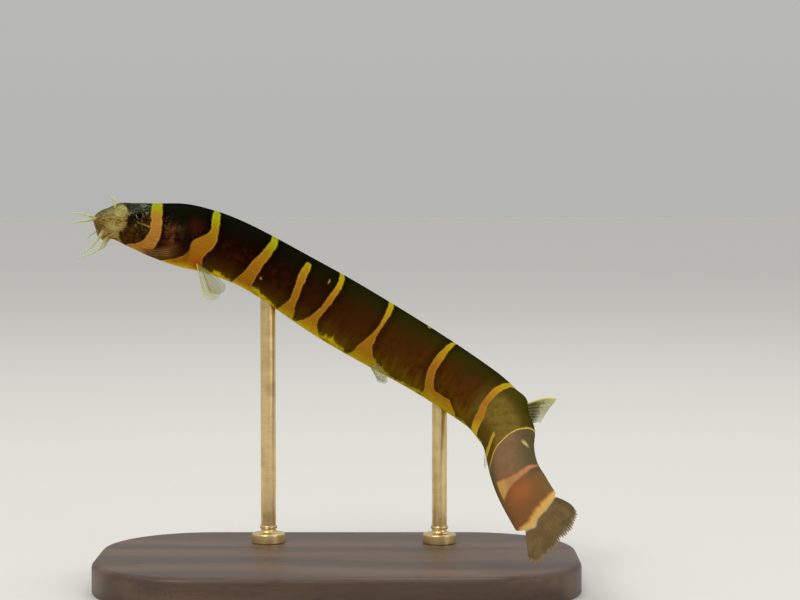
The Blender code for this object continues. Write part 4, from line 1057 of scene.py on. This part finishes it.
# A tube whose radius runs from the root to the tip's share, with a bell of flare at the root and a
# rounded end; the section's two axes are square to the route and lie as near level as they can.
def makeBarbels():
    material = makeBarbelFinish()
    sunk, sides, snoutTip = barbel["sunk"], barbel["sides"], np.array(pose["snoutTip"])
    around = evenTurns(sides)[None, :, None]
    for name, (along, turn, radius, steps) in barbels.items():
        way = 1.0 if name.endswith("left") else -1.0
        turn = way * np.radians(turn)
        places = [bodyPoint(along, turn, -sunk), bodyPoint(along, turn)]
        places += [snoutTip + (-forward, -way * outward, up) for forward, up, outward in steps]
        route = smoothRoute(places, barbel["rings"])
        reach = np.append(0.0, np.cumsum(np.linalg.norm(np.diff(route, axis=0), axis=1)))
        down = reach / reach[-1]
        size = radius * (1.0 + (barbel["tipShare"] - 1.0) * down ** barbel["taperPower"])
        size = size * (1.0 + barbel["flare"] * bell(np.maximum(reach - sunk, 0.0), barbel["flareReach"]))
        toTip = (reach[-1] - reach) / (barbel["tipRound"] * size)
        size = size * np.sqrt(np.clip(toTip, barbel["smallestShare"], 1.0))
        lead = unit(np.gradient(route, axis=0))
        level = unit(np.cross(lead, barbel["level"]))
        spokes = np.cos(around) * level[:, None] + np.sin(around) * np.cross(lead, level)[:, None]
        points, faces = closedLoft(route[:, None] + spokes * size[:, None, None], route[0], route[-1])
        marks = {"reach": np.zeros((len(points), 3))}
        marks["reach"][:, 0] = np.append(np.repeat(down, sides), [0.0, 1.0])
        node = "barbel_" + name
        makePiece(node + "_soft", points, faces, material, [node], marks)


makeBarbels()
print("skin, eyes and barbels ready")


# Fins: a root line, a rim and a face direction across the fin from 0 to 1; rays branch towards the
# rim, and the rim is notched between them. "waves" are each a depth and a count for every four rays.
finLook = {
    "perRay": 12, "rows": 46, "rootThickness": 0.34, "rimThickness": 0.05, "rayHeight": 0.07,
    "rayWidth": 0.11, "rayStart": 0.1, "rayThinning": 0.7, "split": 0.24, "splitStart": 0.3, "notch": 0.05,
    "notchPower": 5, "webShare": 0.35, "waveShare": 0.8, "waves": ((0.62, 3), (0.38, 12)),
    "sideTaper": 0.04, "sideThinning": 0.7, "rimStart": 0.93, "rimThinning": 0.6, "bowPower": 1.5,
    "crown": 0.0, "crownFade": 3, "crownPower": 1.4,
}
midlineFins = {
    "dorsal_fin": {
        "start": 62.0, "end": 64.3, "turn": 0.0, "leans": (32.0, 36.0),
        "lengths": (4.2, 3.2, 2.3, 1.55, 0.95), "rays": 8, "bow": 0.12, "crown": 0.34,
        "finish": "streakedFin", "seed": 3,
    },
    "anal_fin": {
        "start": 66.8, "end": 69.8, "turn": 180.0, "leans": (92.0, 88.0), "lengths": (4.4, 4.2, 3.5, 2.4),
        "rays": 7, "bow": -0.1, "finish": "goldenFin", "seed": 4,
    },
}
pairedFins = {
    "pectoral_fin": {
        "start": (14.75, 141.0), "end": (16.3, 153.0), "first": (0.5, -0.68, 0.5),
        "last": (0.88, -0.3, 0.42), "lengths": (4.9, 5.5, 5.1, 4.3, 3.4), "rays": 10, "bow": 0.35,
        "seed": 5,
    },
    "pelvic_fin": {
        "start": (41.8, 162.0), "end": (42.5, 140.0), "first": (0.95, -0.32, 0.1),
        "last": (0.95, -0.18, 0.3), "lengths": (2.6, 3.3, 3.2, 2.6), "rays": 7, "bow": 0.15, "seed": 6,
    },
}
tailFin = {     # the rim: at each share of the way from top to bottom, how far back and how high it is
    "share": (0.0, 0.05, 0.14, 0.34, 0.6, 0.84, 0.95, 1.0),
    "back": (5.3, 6.4, 7.15, 7.65, 7.9, 7.95, 7.3, 6.0),
    "height": (3.8, 3.5, 2.9, 1.1, -1.3, -3.5, -4.4, -4.7), "rootHeights": (2.45, -1.7), "rootBack": -1.0,
    "edgeHeight": (-4.0, -2.9, -2.3, -1.4, -0.7, 0.2, 1.1, 1.9, 2.8, 4.0),
    "edgeBack": (1.2, 1.3, 1.45, 2.0, 1.5, 1.25, 1.2, 0.95, 0.65, 0.5),
    "rays": 16, "bow": 0.0, "crown": 0.28, "notch": 0.14, "rows": 64, "rootThickness": 0.5,
    "rayHeight": 0.03, "seed": 11,
}
finTints = {
    "ray": (0.40, 0.37, 0.13), "leadingEdge": (0.60, 0.52, 0.10), "streak": (0.03, 0.024, 0.008),
    "smokeStreak": (0.06, 0.038, 0.018), "upperEdge": (0.066, 0.046, 0.016), "fringe": (0.34, 0.20, 0.08),
}
finFinishes = {     # the membrane's tint, the tint of its first rays' tips, how far it is streaked dark
    "streakedFin": ((0.30, 0.28, 0.05), (0.46, 0.46, 0.17), 1.0),
    "clearFin": ((0.36, 0.36, 0.12), (0.58, 0.58, 0.36), 0.0),
    "goldenFin": ((0.48, 0.38, 0.09), (0.58, 0.50, 0.24), 0.0),
}
solidGap = 0.3     # the gap that the solids keep from one another
finLift = 0.39     # how far off the skin the solids' paired fins start
finSunk = 0.35     # how deep a membrane's root lies in the flesh


# Half the sheet's thickness: thinning to the rim as a square, plus each ray's bell, thinner again
# at both sides and along the rim.
def halfThickness(look, across, down, ray):
    rim, onRay = look["rimThickness"], ray * eased(down, 0.0, look["rayStart"])
    half = (rim + (look["rootThickness"] - rim) * (1.0 - down) ** 2) / 2
    half = half + look["rayHeight"] * onRay * (1.0 - look["rayThinning"] * down)
    side = 1.0 - eased(np.minimum(across, 1.0 - across), 0.0, look["sideTaper"])
    half = half * (1.0 - look["sideThinning"] * side)
    return half * (1.0 - look["rimThinning"] * eased(down, look["rimStart"], 1.0))


# The sheet: points run from root to rim along rays, bowed out by a sine, the first ones crowned
# outwards by another. "across" runs down the grid's rows and "down" along its columns.
def makeFin(node, root, tip, normal, sizes, finish, past=None):
    look = {**finLook, **sizes}
    draw = np.random.default_rng(look["seed"])
    level = np.linspace(0.0, 1.0, (look["rays"] - 1) * look["perRay"] + 1)
    across, down = level[:, None], np.linspace(0.0, 1.0, look["rows"])
    rayPlace = across * (look["rays"] - 1)
    offset = np.abs(rayPlace - np.round(rayPlace))
    ray = bell(offset - look["split"] * eased(down, look["splitStart"], 1.0), look["rayWidth"])
    waves = [draw.uniform(0.0, depth, look["rays"] * count // 4) for depth, count in look["waves"]]
    uneven = sum(spreadOver(wave, across) for wave in waves)
    short = look["notch"] * (look["webShare"] * (1.0 - ray[:, -1:]) + look["waveShare"] * uneven)
    part = down * (1.0 - short * down ** look["notchPower"])
    start, end, face = (way(level)[:, None] for way in (root, tip, normal))
    bow = look["bow"] * np.sin(np.pi * across) * down ** look["bowPower"]
    middle = start + (end - start) * part[..., None] + bow[..., None] * face
    lead, aside = unit(end[0, 0] - start[0, 0]), end[0, 0] - end[len(level) // 2, 0]
    aside = unit(aside - lead * (aside @ lead))
    crown = look["crown"] * (1.0 - across) ** look["crownFade"] * np.sin(np.pi * down ** look["crownPower"])
    middle = middle + crown[..., None] * aside
    points, faces = doubledSheet(middle, halfThickness(look, across, down, ray)[..., None] * face)
    marks = {"web": np.stack(np.broadcast_arrays(ray, down, across), -1)}
    if past is not None:
        marks["base"] = np.stack([past(middle)] * 3, -1)
    marks = {label: np.tile(grid.reshape(-1, 3), (2, 1)) for label, grid in marks.items()}
    makePiece(node + "_web", points, faces, finish, [node], marks)


# A fin on the back's or the belly's middle line: each ray leans back by its angle from upright.
def makeMidlineFin(name, sizes, finish):
    turn = np.radians(sizes["turn"])

    def place(across):
        return spreadOver((sizes["start"], sizes["end"]), across)

    def root(across):
        return bodyPoint(place(across), turn, -finSunk)

    def tip(across):
        at, lean = place(across), np.radians(spreadOver(sizes["leans"], across))
        length = spreadOver(sizes["lengths"], across)
        rise, run = length * np.cos(lean) * np.cos(turn), length * np.sin(lean)
        ray = onLine("up", at) * rise[:, None] + onLine("tailward", at) * run[:, None]
        return bodyPoint(at, turn, solidGap) + ray

    def normal(across):
        return onLine("left", place(across))

    makeFin(name, root, tip, normal, sizes, finish)


def bodyWay(along, *shares):     # a direction from its shares tailward, up and left
    return unit(sum(onLine(name, along) * share for name, share in zip(("tailward", "up", "left"), shares)))


# A fin of a pair: its root line lies on the flank, and its rays turn evenly from the first to the last.
def makePairedFin(name, way, label, sizes, finish):
    (startAlong, startTurn), (endAlong, endTurn) = sizes["start"], sizes["end"]
    leads = (sizes["first"], sizes["last"])
    first, last = (bodyWay(startAlong, tail, up, way * out) for tail, up, out in leads)

    def rootAt(across, lift):
        turn = way * np.radians(spreadOver((startTurn, endTurn), across))
        return bodyPoint(spreadOver((startAlong, endAlong), across), turn, lift)

    def root(across):
        return rootAt(across, -finSunk)

    def rays(across):
        return unit(first + (last - first) * across[:, None])

    def tip(across):
        return rootAt(across, finLift) + rays(across) * spreadOver(sizes["lengths"], across)[:, None]

    def normal(across):
        spread = tip(across)[-1] - tip(across)[0]
        return np.broadcast_to(unit(np.cross(spread, rays(np.array([0.5]))[0])), (len(across), 3))

    makeFin(name + "_" + label, root, tip, normal, sizes, finish)


# The tail fin's rim is read from its three rows; its "base" mark is how far a place lies behind the
# edge where the last pale band ends, a curve read by height.
def makeTailFin(finish):
    centre, tail, up, left = (onLine(name, body["end"]) for name in ("centre", "tailward", "up", "left"))

    def at(back, height):
        return centre + back[:, None] * tail + height[:, None] * up

    def root(across):
        return at(np.full_like(across, tailFin["rootBack"]), spreadOver(tailFin["rootHeights"], across))

    def tip(across):
        return at(*(readCurve(tailFin["share"], tailFin[key], across) for key in ("back", "height")))

    def normal(across):
        return np.broadcast_to(left, (len(across), 3))

    def past(middle):
        edge = readCurve(tailFin["edgeHeight"], tailFin["edgeBack"], (middle - centre) @ up)
        return (middle - centre) @ tail - edge

    makeFin("caudal_fin", root, tip, normal, tailFin, finish, past)


# Membrane: clear between the rays, golden at the leading edge, paler at the tips of the first rays,
# and on the streaked fin dark from the root outwards.
def makeFinFinish(name):
    clear, tip, streak = finFinishes[name]
    f = Finish(
        name, Coat_Weight=0.05, Coat_Roughness=0.2, Subsurface_Weight=0.1, Specular_IOR_Level=0.12,
        Subsurface_Radius=fleshLight,
    )
    ray, down, across = f.parts(f.attribute("web"))
    grain = f.noise(f.place(), 2.5, detail=4.0)
    leading = f.fall(across, 0.02, 0.1)
    paleTip = f.rise(down, 0.7, 0.95) * f.fall(across, 0.1, 0.6)
    dark = f.fall(down + grain.swing(0.6) + across * 0.1, 0.32, 0.8) * (1.0 - leading) * streak
    dark = (dark * f.rise(ray + grain.swing(1.2), -1.0, 0.5)).clipped()
    colour = f.mix(ray * 0.7, clear, finTints["ray"])
    colour = f.mix(paleTip, colour, tip)
    colour = f.mix(leading * 0.85, colour, finTints["leadingEdge"])
    colour = f.mix(dark, colour, finTints["streak"])
    alpha = 0.16 + ray * 0.26 * (1.0 - down * 0.5) + f.fall(down, 0.0, 0.3) * 0.4
    alpha = alpha + leading * 0.6 + dark * 0.75 + paleTip * 0.3 + streak * 0.24
    alpha = (alpha * (1.0 - f.rise(across, 0.4, 1.0) * streak * 0.35)).clipped()
    rough, normal = 0.36 + grain * 0.15, f.bump(ray, 0.3, 0.04)
    return f.dress(Base_Color=colour, Alpha=alpha, Roughness=rough, Normal=normal)


# Smoke-brown past the base's edge with soft streaks, peach in front of it, an orange-brown fringe.
def makeTailFinFinish():
    f = Finish("smokyTailFin", Coat_Weight=0.03, Coat_Roughness=0.25, Specular_IOR_Level=0.04)
    ray, down, across = f.parts(f.attribute("web"))
    grain = f.noise(f.place(), 2.2, detail=5.0)
    cloud = f.noise(f.place(), 0.7)
    edge = f.parts(f.attribute("base"))[0] + grain.swing(0.3) + cloud.swing(1.1)
    streaks = f.rise(ray + grain.swing(1.6), 0.2, 1.0) * f.rise(down, 0.5, 0.9)
    fringe = f.rise(down + grain.swing(0.16) - streaks * 0.05, 0.87, 0.96)
    colour = f.mix(f.rise(cloud, 0.3, 0.7), tints["smoke"], tints["smokeLight"])
    colour = f.mix(streaks * 0.35, colour, finTints["smokeStreak"])
    colour = f.mix(f.fall(across, 0.02, 0.16) * 0.6, colour, finTints["upperEdge"])
    colour = f.mix(fringe * 0.75, colour, finTints["fringe"])
    colour = f.mix(f.fall(edge, -0.1, 0.1), colour, tints["tailPeach"])
    colour = f.mix(f.between(edge, -0.15, 0.05, 0.08, 0.3) * 0.55, colour, tints["blueLine"])
    alpha = (1.0 - f.rise(down, 0.7, 1.0) * (1.0 - ray) * 0.45 - fringe * 0.1).clipped()
    rough, normal = 0.45 + grain * 0.18, f.bump(ray, 0.12, 0.04)
    return f.dress(Base_Color=colour, Alpha=alpha, Roughness=rough, Normal=normal)


def makeFins():
    for name, sizes in midlineFins.items():
        makeMidlineFin(name, sizes, makeFinFinish(sizes["finish"]))
    clearFinish = makeFinFinish("clearFin")
    for name, sizes in pairedFins.items():
        for way, label in ((1, "left"), (-1, "right")):
            makePairedFin(name, way, label, sizes, clearFinish)
    makeTailFin(makeTailFinFinish())


makeFins()
print("fins ready")


# The stand: a walnut slab with rounded corners and a softened upper edge, and two brass rods.
slab = {
    "length": 62.0, "depth": 37.0, "height": 4.0, "corner": 14.0, "edge": 0.8, "foot": 0.2,
    "cornerSteps": 28, "edgeSteps": 9, "topInsets": (1.6, 3.5, 7.0, 11.0, 13.5),
}
rods = {"front": 24.0, "rear": 50.5}     # where along the fish each one stands
rodShape = {     # the bead has two radii, outwards and upwards
    "radius": 1.0, "footRadius": 2.2, "footHeight": 1.0, "footBevel": 0.1, "edge": 0.22, "fillet": 0.5,
    "depthInBody": 2.2, "bead": (0.16, 0.224), "beadHeight": 2.1, "arcSteps": 8, "beadSteps": 11,
    "sides": 72,
}
walnut = {
    "stops": ((0.1, (0.045, 0.022, 0.012)), (0.5, (0.085, 0.043, 0.022)), (0.9, (0.135, 0.072, 0.037))),
    "pore": (0.018, 0.009, 0.005),
}
brass = {"bright": (0.80, 0.60, 0.29), "aged": (0.58, 0.41, 0.18)}


# Year rings: a sine over the height and depth in the wood, warped along it, with fibres and pores.
def makeWalnut():
    f = Finish("oiledWalnut", Coat_Weight=0.12, Coat_Roughness=0.3)
    place = f.place()
    warp = f.noise(place, 1.0, stretch=(0.02, 0.12, 0.12))
    fibre = f.noise(place, 1.0, detail=5.0, rough=0.65, stretch=(0.12, 2.4, 2.4))
    pore = f.fall(f.noise(place, 1.0, detail=2.0, stretch=(0.35, 5.5, 5.5)), 0.30, 0.40)
    _, y, z = f.parts(place)
    rings = f.node("ShaderNodeMath", {"operation": "SINE"}, {0: y * 0.55 + z * 0.35 + warp * 14.0})
    colour = f.ramp((rings * 0.5 + 0.5) * 0.55 + fibre * 0.45, walnut["stops"])
    colour = f.mix(pore * 0.6, colour, walnut["pore"])
    normal = f.bump(fibre - pore * 0.5, 0.2, 0.06)
    return f.dress(Base_Color=colour, Roughness=0.42 + fibre * 0.15 + pore * 0.1, Normal=normal)


# Brass: fine rings from the lathe, and patches where it has aged.
def makeBrass():
    f = Finish("turnedBrass", Metallic=1.0)
    place = f.place()
    turned = f.noise(place, 1.0, stretch=(0.3, 0.3, 9.0))
    age = f.noise(place, 0.35, detail=4.0)
    colour = f.mix(f.rise(age, 0.4, 0.75), brass["bright"], brass["aged"])
    colour = f.dimmed(colour, 0.85 + turned * 0.3)
    rough = 0.2 + turned * 0.16 + age * 0.08
    return f.dress(Base_Color=colour, Roughness=rough, Normal=f.bump(turned, 0.15, 0.02))


# A rounded rectangle's outline: each corner is an arc about its own centre, the radius less the inset.
def slabOutline(inset, z):
    quarter = np.linspace(0.0, np.pi / 2, slab["cornerSteps"])
    angle = np.concatenate([quarter + corner * np.pi / 2 for corner in range(4)])
    longSide, shortSide = slab["length"] / 2 - slab["corner"], slab["depth"] / 2 - slab["corner"]
    signs = np.repeat([(1, 1), (-1, 1), (-1, -1), (1, -1)], slab["cornerSteps"], axis=0)
    radius = slab["corner"] - inset
    x = signs[:, 0] * longSide + radius * np.cos(angle)
    y = signs[:, 1] * shortSide + radius * np.sin(angle)
    return np.stack([x, y, np.full_like(x, z)], -1)


def makeSlab():
    top, edge, foot = slab["height"], slab["edge"], slab["foot"]
    profile = np.vstack([     # inset and height
        [(foot, 0.0), (0.0, foot)],
        arcPoints((edge, top - edge), (-edge, edge), 0.0, 90.0, slab["edgeSteps"]),
        [(inset, top) for inset in slab["topInsets"]],
    ])
    rings = np.stack([slabOutline(inset, z) for inset, z in profile])
    points, faces = closedLoft(rings, (0.0, 0.0, 0.0), (0.0, 0.0, top))
    makePiece("stand_base_slab", points, faces, makeWalnut(), ["stand_base"], sharp=50.0)


# A turned shape: the profile (radius, height) carried round an upright line.
def turnedRings(profile, centre, sides):
    radius, height = profile[:, :1], profile[:, 1:]
    around = evenTurns(sides)
    x, y = centre[0] + radius * np.cos(around), centre[1] + radius * np.sin(around)
    return np.stack([x, y, np.broadcast_to(height, x.shape)], -1)


# Each rod's profile from the slab up: a bevel, the foot's edge, a fillet, a bead and the rounded top.
def makeRods():
    material = makeBrass()
    radius, foot, edge, fillet = (rodShape[key] for key in ("radius", "footRadius", "edge", "fillet"))
    bevel, steps = rodShape["footBevel"], rodShape["arcSteps"]
    bottom = slab["height"]
    base, beadAt = bottom + solidGap + rodShape["footHeight"], bottom + rodShape["beadHeight"]
    for label, along in rods.items():
        x, y, middle = onLine("centre", along)
        tailward = onLine("tailward", along)
        slope = np.arctan2(-tailward[2], tailward[0])
        top = middle - float(bodySize("below", along)) / np.cos(slope) + rodShape["depthInBody"]
        profile = np.vstack([
            [(foot - bevel, bottom), (foot, bottom + bevel)],
            arcPoints((foot - edge, base - edge), (edge, edge), 0.0, 90.0, steps),
            arcPoints((radius + fillet, base + fillet), (fillet, fillet), -90.0, -180.0, steps),
            arcPoints((radius, beadAt), rodShape["bead"], -90.0, 90.0, rodShape["beadSteps"]),
            arcPoints((radius - edge, top - edge), (edge, edge), 0.0, 90.0, steps),
        ])
        rings = turnedRings(profile, (x, y), rodShape["sides"])
        points, faces = closedLoft(rings, (x, y, bottom), (x, y, top))
        node = "stand_rod_" + label
        makePiece(node + "_turned", points, faces, material, [node], sharp=40.0)


makeSlab()
makeRods()
print("stand ready")
